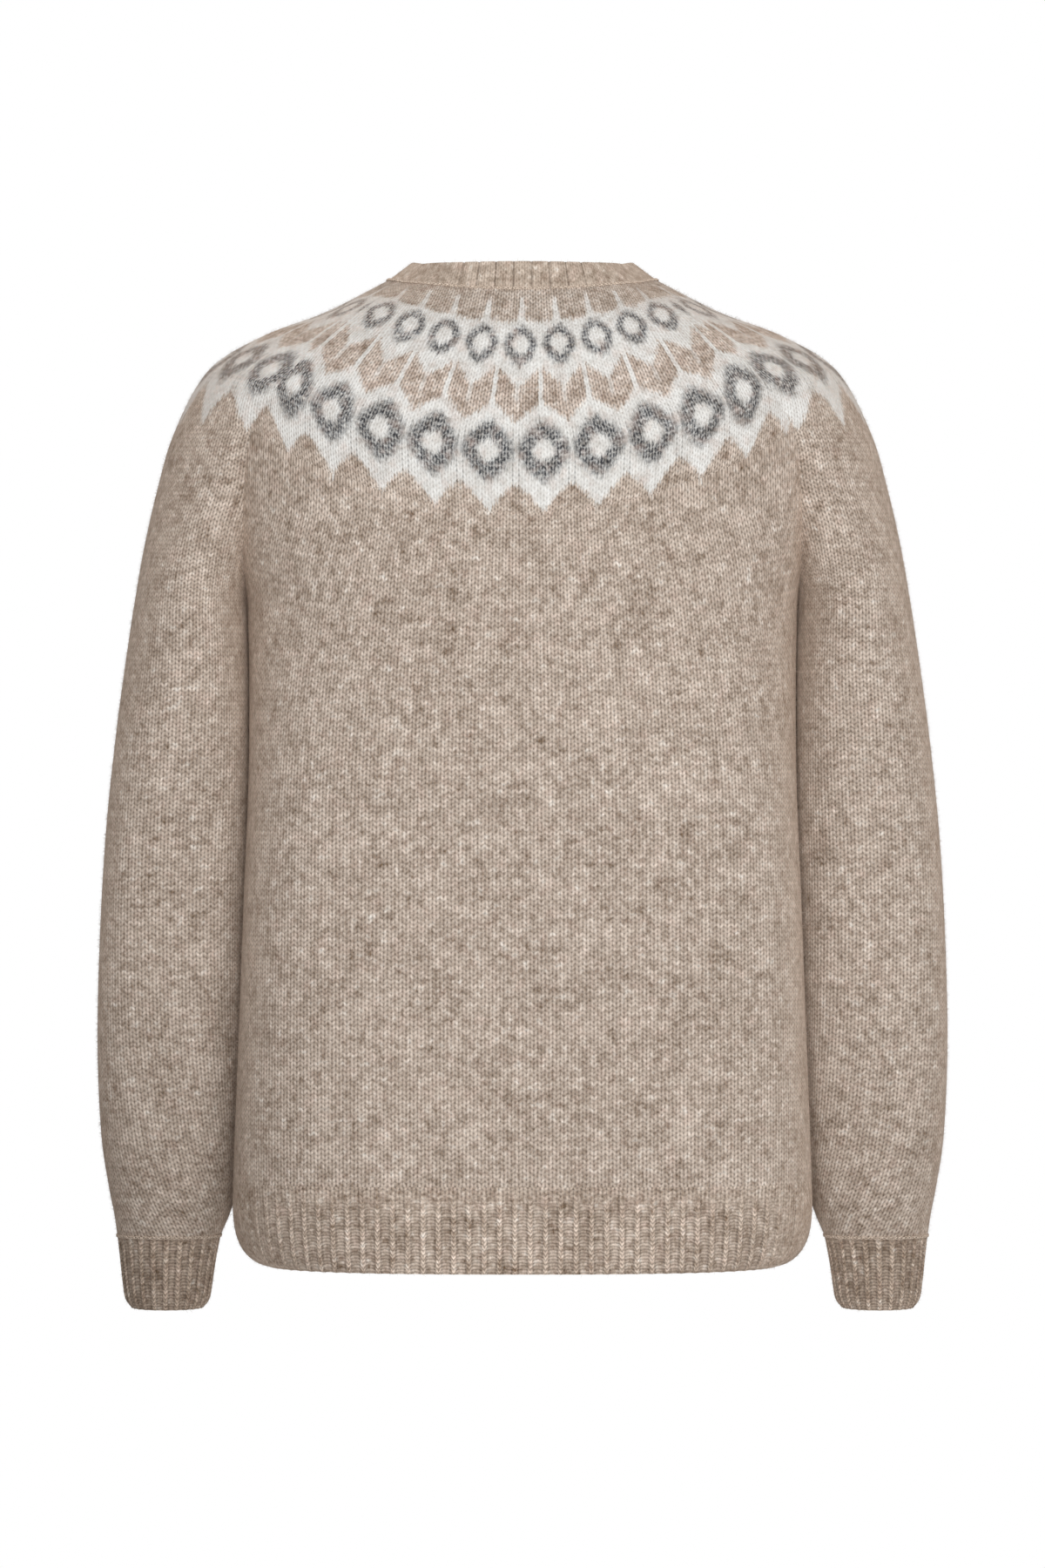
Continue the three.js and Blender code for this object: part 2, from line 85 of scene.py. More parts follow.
room = bpy.data.worlds.new("white_room")
scene.world = room
room.use_nodes = True
nodes, link = room.node_tree.nodes, room.node_tree.links.new
nodes.clear()
seen, lights, white, choice, sky = [nodes.new("ShaderNode" + kind) for kind in (
    "LightPath", "Background", "Background", "MixShader", "OutputWorld")]
lights.inputs["Strength"].default_value = ROOM_LIGHT
for background in (lights, white):
    background.inputs["Color"].default_value = (1, 1, 1, 1)
link(seen.outputs["Is Camera Ray"], choice.inputs["Fac"])
link(lights.outputs[0], choice.inputs[1])
link(white.outputs[0], choice.inputs[2])
link(choice.outputs[0], sky.inputs["Surface"])


def soft_box(name, place, aim, size, power):
    """A square area light at a place, turned towards a point."""
    away = np.subtract(place, aim)
    turn = (math.atan2(math.hypot(away[0], away[1]), away[2]), 0,
            math.atan2(away[1], away[0]) + UPRIGHT)
    bpy.ops.object.light_add(type="AREA", location=place, rotation=turn)
    light = bpy.context.object
    light.name = name
    light.data.size = size
    light.data.energy = power


soft_box("key_soft_box", (-0.75, 3.0, 0.95), (0, 0, -0.1), 1.3, 42)
soft_box("camera_soft_box", (0.1, 4.4, -0.25), (0, 0, -0.35), 1.0, 86)
soft_box("front_soft_box", (0.8, -3.4, 1.0), (0, 0, -0.3), 1.8, 45)


def plain_paint(name, grey, roughness):
    paint = bpy.data.materials.new(name)
    paint.use_nodes = True
    shader = paint.node_tree.nodes["Principled BSDF"]
    shader.inputs["Base Color"].default_value = (grey, grey, grey, 1)
    shader.inputs["Roughness"].default_value = roughness
    return paint


def staged(name, paint):
    """Names and paints what was just added."""
    piece = bpy.context.object
    piece.name = name
    piece.data.materials.append(paint)
    return piece


felt = plain_paint("black_felt", 0.01, 0.5)
for name, size, place, turn in (
        ("side_flag", 1.3, (0.78, 0.4, -1.05), (0, UPRIGHT, 0)),
        ("left_flag", 0.5, (0.43, 0.9, -0.755), (UPRIGHT, 0, 0)),
        ("right_flag", 0.5, (-0.46, 0.9, -0.765), (UPRIGHT, 0, 0))):
    bpy.ops.mesh.primitive_plane_add(size=size, location=place, rotation=turn)
    staged(name, felt).visible_camera = False
bpy.ops.mesh.primitive_circle_add(vertices=96, radius=1.0, fill_type="NGON",
                                  location=(0, 0, FLOOR_Z))
staged("pale_floor", plain_paint("pale_floor", 0.85, 0.8))
print("camera", tuple(camera.location), "lens", LENS, "floor at", FLOOR_Z)

# %% [markdown]
# ## The garment's measures
#
# A knitter measures a garment down its length. Each table here is such a list, in millimetres,
# joined by a smooth curve. `Table.at` gives a measure at any place of it: 0 is the first row, 1
# the second. The yoke runs from the neck seam to the underarm; the body, the sleeve and the ribs
# go on below. They are the frame's measures, but the body's and the sleeve's ovals are a little
# squarer, so that the folds beside the arms are as narrow as those of soft cloth.

# %% Tables of measures
MM = 0.001


class Table:
    """Measures down the garment, one row after another, joined by smooth curves."""

    def __init__(self, columns, rows):
        self.columns = dict(zip(columns.split(), np.array(rows, float).T))
        self.last = len(rows) - 1

    def at(self, column, place):
        values = self.columns[column]
        slopes = np.gradient(values)
        place = np.clip(place, 0, self.last)
        row = np.minimum(place.astype(int), self.last - 1)
        t = place - row
        start, rest = values[row], values[row + 1] - values[row]
        first, then = slopes[row], slopes[row + 1]
        return (start + t * first + t ** 2 * (3 * rest - 2 * first - then)
                + t ** 3 * (first + then - 2 * rest))

    def columns_at(self, names, place):
        """Several measures, each as a column with a number for each place."""
        return [self.at(name, place)[:, None] for name in names.split()]

    def place_of(self, column, value):
        """Where a measure that only falls has this value."""
        places = np.linspace(0, self.last, 60 * self.last + 1)
        return np.interp(-value, -self.at(column, places), places)


YOKE = Table(
    "back_y back_z front_y front_z square seam_x turn back_depth front_depth"
    " seam_back_z seam_front_z ridge_x ridge_z", [
        (70, -9.5, -78, -66, 2.4, 77, 55, 37, 44, -3, -15, 88, 0),
        (98, -50, -97, -100, 2.4, 103, 55, 73, 76, -22, -40, 130, -21.5),
        (109, -83, -108, -130, 2.45, 132, 56, 88, 89, -46, -62, 171, -37),
        (115, -118, -114, -156, 2.5, 158, 60, 92.5, 92.5, -73, -85, 206, -59.5),
        (118, -156, -117, -178, 2.5, 175, 76, 80, 81, -103, -112, 228, -100),
        (119, -183, -119, -196, 2.55, 180, 98, 70, 71, -140, -148, 239, -137),
        (120, -204, -120, -209, 2.65, 181, 132, 70, 71, -182, -186, 248, -177),
        (120, -218, -120, -218, 2.7, 179.5, 180, 70, 70, -216, -216, 255, -218)])
HEM_TOP_Z, HEM_END_Z = -587, -643
BODY = Table("z half_width half_depth square", [
    (-218, 179.5, 120, 2.7), (-265, 178.5, 121, 3.0), (-330, 178.8, 122, 3.5),
    (-400, 181.5, 122, 3.8), (-470, 184, 122, 3.9), (-540, 186.8, 122, 3.8),
    (HEM_TOP_Z, 188.5, 121, 3.6)])
HEM_RIB = Table("z half_width half_depth square", [
    (HEM_TOP_Z, 188.5, 121, 3.6), (-606, 189, 120, 3.4), (-622, 187.2, 119, 3.15),
    (-633, 182.5, 118, 3.0), (-640, 175, 117.4, 2.9), (HEM_END_Z, 166.5, 117, 2.8)])
CUFF_TOP_Z = -627
SLEEVE = Table("z inner_x outer_x half_depth middle_y square", [
    (-218, 179.5, 255, 70, 0, 2), (-255, 178, 260.5, 67, -3, 2.25),
    (-300, 177, 266.5, 64, -8, 2.65), (-360, 177.5, 273, 60, -16, 3.0),
    (-430, 179.5, 277.5, 56, -25, 3.2), (-500, 182.5, 279.5, 52, -33, 3.2),
    (-560, 185.5, 277.5, 48, -39, 3.0), (-596, 188.5, 272.5, 44, -42, 2.7),
    (-612, 193, 269.5, 40, -43, 2.45), (CUFF_TOP_Z, 199.3, 267.5, 35, -44, 2.25)])
CUFF = Table("z inner_x outer_x half_depth middle_y square", [
    (CUFF_TOP_Z, 199.3, 267.5, 35, -44, 2.25), (-643, 202.4, 265.8, 33.6, -44.3, 2.2),
    (-658, 204.6, 264.2, 32.4, -44.7, 2.15), (-669, 206.6, 262.4, 31.6, -44.9, 2.1),
    (-675, 211, 258, 30.4, -45, 2.1)])
print("half width at the underarm:", float(BODY.at("half_width", 0)), "mm")

# %% [markdown]
# ## Lines round the body and the arms
#
# A row of knitting seen from above is a squashed oval. `quarter` draws it from the middle of the
# back or front to the side seam, one line for each place in a table, and `arm_arc` and `arm_ring`
# draw the sleeve's rows. Where the hanging arm's oval would cut into the body's side, it is
# pressed flat against it.

# %% Lines for each row
SAMPLES = np.linspace(0, 1, 241)
SLEEVE_CLEARANCE = 0.5
CLEARANCE_REACH = 0.72   # rows of the sleeve's table over which that clearance grows


def stacked(x, y, z):
    return np.stack(np.broadcast_arrays(x, y, z), -1)


def quarter(middle_y, middle_z, seam_x, seam_depth, seam_z, square, from_x):
    """Lines to the side, from from_x on. All the others are columns, a number for each line."""
    cut = 1 - (seam_depth / abs(middle_y)) ** square
    start = np.arcsin(from_x / seam_x)
    x = seam_x * np.sin(start + SAMPLES * (math.pi / 2 - start))
    across = np.clip(x / seam_x, 0, 1)
    y = middle_y * np.maximum(0, 1 - across ** square * cut) ** (1 / square)
    return stacked(x, y, middle_z + (seam_z - middle_z) * across ** 2)


def yoke_quarter(place, side, from_x=0.0):
    """side is 'back' or 'front'."""
    y, z, seam_x, depth, turn, seam_z, square = YOKE.columns_at(
        f"{side}_y {side}_z seam_x {side}_depth turn seam_{side}_z square", place)
    depth = depth * np.maximum(0, np.sin(np.radians(turn)))
    return quarter(y, z, seam_x, depth, seam_z, square, from_x)


def body_quarter(table, place, side, from_x=0.0):
    z, half_width, half_depth, square = table.columns_at("z half_width half_depth square", place)
    y = half_depth if side == "back" else -half_depth
    return quarter(y, z, half_width, 0 * z, z, square, from_x)


def arm_arc(place):
    """The sleeve's part of a yoke row, from its front seam over the shoulder to the back."""
    turn, seam_x, ridge_x, ridge_z, back_z, front_z, back_depth, front_depth = YOKE.columns_at(
        "turn seam_x ridge_x ridge_z seam_back_z seam_front_z back_depth front_depth", place)
    turn = np.radians(turn)
    angle = turn * (2 * SAMPLES - 1)
    behind = angle > 0
    inward = (1 - np.cos(angle)) / (1 - np.cos(turn))
    return stacked(ridge_x - (ridge_x - seam_x) * inward,
                   np.where(behind, back_depth, front_depth) * np.sin(angle),
                   ridge_z + (np.where(behind, back_z, front_z) - ridge_z) * inward)


def body_side_x(z, y):
    """How far out the body's side reaches at a height and a depth."""
    def measure(name):
        return np.where(z > HEM_TOP_Z, *(table.at(name, table.place_of("z", z))
                                         for table in (BODY, HEM_RIB)))
    square = measure("square")
    across = np.minimum(1, abs(y) / measure("half_depth"))
    return measure("half_width") * (1 - across ** square) ** (1 / square)


def signed_power(value, power):
    return np.sign(value) * abs(value) ** power


def arm_ring(table, place):
    """A row of the sleeve or the cuff, from the inside of the arm once round it."""
    inner, outer, middle_y, half_depth, z, square = table.columns_at(
        "inner_x outer_x middle_y half_depth z square", place)
    angle = math.pi * (2 * SAMPLES - 1)
    x = (inner + outer) / 2 + (outer - inner) / 2 * signed_power(np.cos(angle), 2 / square)
    y = middle_y + half_depth * signed_power(np.sin(angle), 2 / square)
    grown = np.minimum(1, place[:, None] / CLEARANCE_REACH) if table is SLEEVE else 1
    beside = body_side_x(z, y) + SLEEVE_CLEARANCE * grown
    return stacked(np.maximum(x, np.where(z < HEM_END_Z, 0, beside)), y, z)


def lengths_along(lines):
    """How far along its line each point lies."""
    steps = np.linalg.norm(np.diff(lines, axis=1), axis=2)
    return np.concatenate([np.zeros((len(lines), 1)), np.cumsum(steps, 1)], 1)


def picked(values, run, wanted):
    """Rows of values at wanted lengths along the line that they belong to."""
    return np.stack([np.interp(wanted, run, part) for part in values.T], 1)


def resampled(lines, shares):
    """Points at given shares of each line's length."""
    shares = np.broadcast_to(shares, (len(lines), np.shape(shares)[-1]))
    return np.array([picked(line, run, share * run[-1])
                     for line, run, share in zip(lines, lengths_along(lines), shares)])


def mirrored(points):
    return points[:, ::-1] * (-1, 1, 1)


def with_mirror(half):
    """Lines that run on from their last point into their own mirror image."""
    return np.concatenate([half, mirrored(half)[:, 1:]], 1)


underarm = lengths_along(body_quarter(BODY, np.array([0.0]), "back"))[0, -1]
print("a row at the underarm is", round(2 * underarm), "mm across the back")

# %% [markdown]
# ## Grids of stitches
#
# Each panel becomes a grid of points whose rows run down from the neck, with two maps. `stitches`
# counts wales across and courses down, and every knitted finish draws its loops on it. `chart`
# counts pattern repeats round the yoke and courses from the neck seam, for the colourwork.
#
# Below the pattern the columns of stitches still fan out from the yoke, and turn straight further
# down. `left_share` says how much is left of that at a height.

# %% Measures of the knitting
WALE = 4.8               # width of a stitch where the cloth hangs straight
COURSE = 2.96            # height of a stitch
CHART_ROWS = (0, 18, 31, 44.2, 58.4)    # courses of the chart at the yoke's rows 0 to 4
CHART_END = CHART_ROWS[-1]
YOKE_COURSE = 0.84       # rows of stitches for each course of the chart
INCREASES = (23.2, 37.2)     # courses at which the repeats get more stitches
STITCHES = (6, 8, 9)         # stitches in a repeat from the neck down
# Repeats from the middle of the back to the raglan seam, at the yoke's rows. Below the large
# rings the seam cuts across the columns, so that there are more of them between the seams.
REPEATS = (4.65, 4.65, 4.72, 4.74, 5.5)
AT_THE_SEAM = (0, 0, 0, 0.22, 0.12)      # added where the columns crowd at the seam
SLEEVE_REPEATS = (2.7, 2.7, 2.75, 3.0, 2.55)   # from the top of the shoulder to the seam
RISE_ROW, RISE_REACH = 43, 13    # the rings' course and the courses round it, which rise
RISE_AT_SEAM = 2.2       # courses by which the large rings run up towards the raglan seam
RISE_ON_ARM = 2.6        # and by how many more between that seam and the top of the arm
PATTERN_ROW = 4          # the yoke's row at which the pattern ends
PATTERN_Z = -156.0       # its height in the middle of the back
STRAIGHT_Z = -360.0      # below this the stitches stand straight
FAN = 0.17
LEAN = 0.12              # repeats by which the pattern has wandered to the left at its end

YOKE_PLACES = np.linspace(0, YOKE.last, 71)
BODY_PLACES = np.linspace(0, BODY.last, 67)
# Places down a panel: the yoke's rows, and then numbers past its end.
PANEL_PLACES = np.concatenate([YOKE_PLACES, YOKE.last + BODY_PLACES[1:]])
HALF_BACK = 60           # columns of the grid from the middle to the side seam
HALF_SLEEVE = 46
FRONT_EDGE = 14.0        # half the width of the button bands


def by_row(values, place):
    """A value given for the yoke's first rows, as a column for places of its table."""
    return np.interp(place, range(len(values)), values)[:, None]


def smooth_step(x):
    x = np.clip(x, 0, 1)
    return x * x * (3 - 2 * x)


def left_share(z, end=PATTERN_Z):
    """1 at the end of the pattern, falling to 0 where the stitches stand straight."""
    gone = np.clip((end - z) / (end - STRAIGHT_Z), 0, 1)
    return (1 - gone) ** 2


def cloth_maps(places, below, wales, repeats, rise):
    """Both maps. `below` counts courses from the pattern's end, `rise` lifts the rings."""
    above = (places <= PATTERN_ROW)[:, None]
    row = by_row(CHART_ROWS, places)
    raised = row + rise * np.exp(-((row - RISE_ROW) / RISE_REACH) ** 2)
    courses = np.where(above, row * YOKE_COURSE, CHART_END * YOKE_COURSE + below)
    chart = np.where(above, raised, CHART_END + below)
    return {"stitches": np.broadcast_arrays(wales, courses), "chart": (repeats, chart)}


def panel_maps(points, share, half_length):
    """The maps of a back or front panel. share runs from -1 to 1 across the garment."""
    share = np.broadcast_to(share, points.shape[:2])
    z = points[..., 2]
    last_row = z[PANEL_PLACES <= PATTERN_ROW][-1]
    end, bend = last_row.min(), np.ptp(last_row) * share ** 2
    lead = bend * left_share(z - bend * left_share(z, end), end)
    below = np.maximum((end - z + lead) / COURSE, 0)
    wales = share * half_length[:, None] * (1 + FAN * left_share(z, end)) / WALE
    repeats = by_row(REPEATS, PANEL_PLACES) + by_row(AT_THE_SEAM, PANEL_PLACES) * share ** 4
    wander = by_row((0, LEAN / 2, LEAN), PANEL_PLACES)
    rise = RISE_AT_SEAM * smooth_step((abs(share) - 0.8) / 0.2)
    return cloth_maps(PANEL_PLACES, below, wales, share * repeats - wander, rise)


def half_panel(side, edge):
    """Half a panel's grid, from its edge to the side, with the widths of its rows."""
    lines = np.concatenate([yoke_quarter(YOKE_PLACES, side, edge),
                            body_quarter(BODY, BODY_PLACES, side, edge)[1:]])
    return resampled(lines, COLUMNS), lengths_along(lines)[:, -1]


COLUMNS = np.linspace(0, 1, HALF_BACK + 1)
half_back, back_width = half_panel("back", 0.0)
back_points = with_mirror(half_back[:, ::-1])
back_maps = panel_maps(back_points, np.linspace(1, -1, 2 * HALF_BACK + 1), back_width)

front_points, front_width = half_panel("front", FRONT_EDGE)
front_length = front_width + FRONT_EDGE
front_share = (FRONT_EDGE + COLUMNS * front_width[:, None]) / front_length[:, None]
front_maps = panel_maps(front_points, front_share, front_length)
print("back grid", back_points.shape[:2], "front grid", front_points.shape[:2])

# %% [markdown]
# The sleeve goes on from the yoke as a closed tube. Its stitches count from the outermost
# line of the arm, and its decreases are hidden under the arm, as a knitter places them.

# %% The sleeve's grid
SLEEVE_PLACES = np.linspace(0, SLEEVE.last, 91)


def both_halves(lines):
    """Each half of the lines is spaced evenly, so the ridge is the middle column."""
    middle = lines.shape[1] // 2
    shares = np.linspace(0, 1, HALF_SLEEVE + 1)
    return np.concatenate([resampled(lines[:, :middle + 1], shares),
                           resampled(lines[:, middle:], shares)[:, 1:]], 1)


def length_down(line):
    return lengths_along(line[None])[0]


def sleeve_maps(points, places):
    """The maps of a sleeve, whose stitches count from its middle column."""
    run = lengths_along(points)
    middle = points.shape[1] // 2
    arc = run - run[:, middle:middle + 1]
    share = arc / np.where(arc < 0, -arc[:, :1], arc[:, -1:])
    ridge = points[:, middle]
    down = length_down(ridge)
    below = ((down - down[places <= PATTERN_ROW][-1]) / COURSE)[:, None]
    wales = arc * (1 + FAN * left_share(ridge[:, 2:])) / WALE
    rise = RISE_AT_SEAM + RISE_ON_ARM * np.sin(math.pi * abs(share))
    return cloth_maps(places, below, wales, share * by_row(SLEEVE_REPEATS, places), rise)


sleeve_points = np.concatenate([both_halves(arm_arc(YOKE_PLACES)),
                                both_halves(arm_ring(SLEEVE, SLEEVE_PLACES))[1:]])
sleeve_places = np.concatenate([YOKE_PLACES, YOKE.last + SLEEVE_PLACES[1:]])
sleeve_map = sleeve_maps(sleeve_points, sleeve_places)
print("sleeve grid", sleeve_points.shape[:2])

# %% [markdown]
# ## Writing a finish as arithmetic
#
# A finish is worked out by nodes. Linking them by hand takes long, so the class `Wire`
# wraps one output socket, and Python's own signs add the Math nodes: `1 - mask` adds a
# Subtract node. `Wire.node` adds any other kind of node.

# %% Wires
class Wire:
    """One output in a material's node tree, with arithmetic."""

    material = tree = None

    def __init__(self, socket):
        self.socket = socket

    @classmethod
    def node(cls, kind, settings=None, inputs=None, output=0):
        node = cls.tree.nodes.new(kind)
        for name, setting in (settings or {}).items():
            setattr(node, name, setting)
        for key, value in (inputs or {}).items():
            if isinstance(value, Wire):
                cls.tree.links.new(value.socket, node.inputs[key])
            else:
                node.inputs[key].default_value = value
        return cls(node.outputs[output])

    def math(self, operation, *others):
        values = dict(enumerate((self, *others)))
        return Wire.node("ShaderNodeMath", {"operation": operation}, values)

    __add__ = __radd__ = partialmethod(math, "ADD")
    __mul__ = __rmul__ = partialmethod(math, "MULTIPLY")
    __sub__ = partialmethod(math, "SUBTRACT")
    __truediv__ = partialmethod(math, "DIVIDE")
    __pow__ = partialmethod(math, "POWER")
    __lt__ = partialmethod(math, "LESS_THAN")
    __gt__ = partialmethod(math, "GREATER_THAN")
    __abs__ = partialmethod(math, "ABSOLUTE")
    floor = partialmethod(math, "FLOOR")
    part = partialmethod(math, "FRACT")      # what is left above the whole number below

    def __rsub__(self, other):
        return Wire.node("ShaderNodeMath", {"operation": "SUBTRACT"}, {0: other, 1: self})

    def held(self, low=0, high=1):
        """Kept from going below low or above high."""
        return self.math("MAXIMUM", low).math("MINIMUM", high)

    def step(self, low, high):
        """0 below low, 1 above high and smooth between them."""
        return Wire.node("ShaderNodeMapRange", {"interpolation_type": "SMOOTHSTEP"},
                         {"Value": self, "From Min": low, "From Max": high})

    def nearest(self):
        """How far it is from the nearest whole number."""
        return abs(self - (self + 0.5).floor())

    def wave(self):
        """0 at whole numbers and 1 half-way between them."""
        return (self.part() * math.pi).math("SINE")


def vector(x, y, z=0.0):
    return Wire.node("ShaderNodeCombineXYZ", {}, {"X": x, "Y": y, "Z": z})


def scaled(place, factors):
    return Wire.node("ShaderNodeVectorMath", {"operation": "MULTIPLY"}, {0: place, 1: factors})


def here():
    """The place of a point on its object."""
    return Wire.node("ShaderNodeTexCoord", output="Object")


def noise(place, scale, detail=2.0, rough=0.5):
    """Smooth noise about 0, from about -1 to 1."""
    value = Wire.node("ShaderNodeTexNoise", {},
                      {"Vector": place, "Scale": scale, "Detail": detail, "Roughness": rough})
    return (value - 0.5) * 3


def on_map(across, down, layer, detail=2.0, rough=0.7):
    """Noise over a piece's map. Each layer is another noise."""
    return noise(vector(across, down, layer), 1.0, detail, rough)


def blend(share, under, over):
    """The colour `over` laid on `under` by a share from 0 to 1."""
    return Wire.node("ShaderNodeMix", {"data_type": "RGBA"}, {0: share, 6: under, 7: over}, 2)


def dye(*card):
    """A colour as a dyer's card gives it, from 0 to 255, made linear for the renderer."""
    share = np.array(card) / 255
    linear = np.where(share <= 0.04045, share / 12.92, ((share + 0.055) / 1.055) ** 2.4)
    return (*linear, 1.0)


def begin(name, *maps):
    """Starts a material and gives the two wires, across and down, of each map it reads."""
    Wire.material = bpy.data.materials.new(name)
    Wire.material.use_nodes = True
    Wire.tree = Wire.material.node_tree
    wires = []
    for name in maps:
        place = Wire.node("ShaderNodeUVMap", {"uv_map": name})
        parts = Wire.node("ShaderNodeSeparateXYZ", {}, {0: place}).socket.node.outputs
        wires += [Wire(parts[0]), Wire(parts[1])]
    return wires


def finish(colour, shade, height, relief, **constants):
    """Ends a material: wires for its colour, a shade that darkens it, and its height."""
    shader = Wire.tree.nodes["Principled BSDF"]
    shaded = scaled(colour, vector(shade, shade, shade))
    bump = Wire.node("ShaderNodeBump", {}, {"Height": height, "Distance": relief})
    Wire.tree.links.new(shaded.socket, shader.inputs["Base Color"])
    Wire.tree.links.new(bump.socket, shader.inputs["Normal"])
    for socket, value in constants.items():
        shader.inputs[socket.replace("_", " ")].default_value = value
    print(f"{Wire.material.name}: {len(Wire.tree.nodes)} nodes")
    return Wire.material


# %% [markdown]
# ## Heathered wool
#
# The yarn is a melange, spun from fleece dyed in several browns and greys, and the cloth is
# brushed. So no two stitches have quite the same colour. Clouds some centimetres wide, smaller
# patches, lengths of yarn along a row, streaks of the brush, single stitches and single fibres
# are added up. They are numbers about 0 that make the dye lighter or darker, and some also turn
# it a little towards rose or ash grey.

# %% Heather
TAUPE = dye(193, 177, 163)
ROSE = dye(199, 172, 158)
ASH = dye(200, 194, 185)
WOOL = {"Roughness": 0.95, "Specular_IOR_Level": 0.15, "Sheen_Weight": 0.8,
        "Sheen_Roughness": 0.5, "Sheen_Tint": dye(205, 180, 160)}


def heathered(colour, wales, courses, rows, strength=1.0):
    """The colour with the melange's clouds, rows and fibres."""
    place = here()
    clouds = noise(place, 48, 3.0, 0.62)
    patches = noise(place, 190, 2.0, 0.6)
    yarn = on_map(wales * 0.19, rows * 0.77, 0.0, 2.0, 0.6)
    lengths = on_map(wales * 0.62, rows * 0.9, 5.0, 1.0, 0.5)
    fibres = on_map(wales * 2.6, courses * 1.1, 2.0, 2.0, 0.75)
    streaks = on_map(wales * 2.1, courses * 0.16, 7.0, 1.0, 0.5)
    stitch = Wire.node("ShaderNodeTexWhiteNoise", {"noise_dimensions": "3D"},
                       {"Vector": vector(wales.floor(), rows.floor())}) - 0.5
    tone = (clouds * 0.26 + patches * 0.42 + yarn * 0.12 + lengths * 0.16 + streaks * 0.12
            + stitch * 0.22 + fibres * 0.4) * strength
    tone = tone.held(-0.7, 0.9)
    colour = blend((noise(place, 130, 2.0) * 0.4).held(), colour, ROSE)
    colour = blend((lengths * 0.5 + patches * 0.9 - 0.3).held(0, 0.85), colour, ASH)
    return scaled(colour, vector(tone + 1, tone * 1.1 + 1, tone * 1.2 + 1))


# %% [markdown]
# ## Stocking stitch
#
# On its right side each stitch is a V: two legs that rise away from the middle of the wale.
# `cell` finds which stitch a place belongs to, and how high the yarn stands there. The
# brushing moves every fibre a little, so the place is first pushed about by fine noise. Where
# the yarn lies low, in the gaps beside the legs, the colour is darkened: painted shade.

# %% One stitch
LEG_RISE = 1.15          # courses that the yarn rises for a wale's width
# Painted shade: the colour is darkened in the gaps beside the yarn, where shade falls.
PAINTED_GAP_SHADE = 0.9     # how much darker than the yarn the gaps beside it are


def pushed(wales, courses, across=0.05, down=0.08):
    """Places moved by the nap, so that no edge in the pattern is sharp."""
    return (wales + on_map(wales * 3.1, courses * 0.9, 0.0) * across,
            courses + on_map(wales * 3.1, courses * 0.9, 9.0) * down)


def cell(wales, courses):
    """The stitch's row, and the height of the yarn from 0 to 1."""
    off_middle = abs(wales.part() - 0.5)
    risen = courses + off_middle * LEG_RISE
    leg = (off_middle * 2 * math.pi).math("SINE").math("MAXIMUM", 0)
    strand = risen.wave()
    groove, gap = 1 - leg, 1 - strand
    return risen, 1 - groove * gap * 0.85 - groove * strand * 0.36 - leg * gap * 0.24


# %% [markdown]
# ## The yoke's chart
#
# A knitter reads colourwork from a chart, one square for each stitch. This one is a rule instead
# of a drawing: `a` says how far a stitch is from the middle of a repeat, from 0 to a half, and
# `row` counts courses from the neck seam. The yoke is increased between the bands, so a repeat
# has 6, then 8, then 9 stitches.
#
# From the neck: a tan band with rounded teeth, small grey rings, tan chevrons, large charcoal
# rings half a repeat further round, and white points that run out into the body's taupe.

# %% Colourwork
WHITE_WOOL = dye(217, 215, 211)
TAN = dye(194, 175, 160)
TOP_TAN = dye(187, 170, 155)
MID_GREY = dye(64, 67, 72)
CHARCOAL = dye(50, 53, 58)
# Half the height of an outline in courses and half its width in repeats, how round it is,
# where 1 is a diamond and 2 an oval, and how soft: outside and inside, for both sizes.
SMALL_ROW, LARGE_ROW = 16.4, 43.5        # the courses through the rings' middles
SMALL_RING = (5.6, 0.43, 1.65, 0.32), (2.9, 0.225, 1.8, 0.4)
LARGE_RING = (7.3, 0.475, 1.45, 0.3), (2.8, 0.2, 1.6, 0.5)
# The courses at which the bands' other parts begin or end, in the middle of a repeat.
SPIKE_ROW, TEETH_ROW, POINT_ROW = 2.6, 9.0, 51.5
CHEVRON_ROWS, CHEVRON_SLOPES, CHEVRON_CORE = (28, 36.6), (11.3, 10.3), 32
DASH_ROWS, DASH_PLACE = (39, 53), 0.055  # and how far beside the middle the dashes are


def oval(across, down, half_height, half_width, roundness, soft):
    """1 inside an outline and 0 outside it, with a soft edge."""
    reach = (abs(across) / half_width) ** roundness + (abs(down) / half_height) ** roundness
    return 1 - reach.step(1 - soft, 1 + soft)


def ring(across, down, outside, inside):
    return oval(across, down, *outside) * (1 - oval(across, down, *inside))


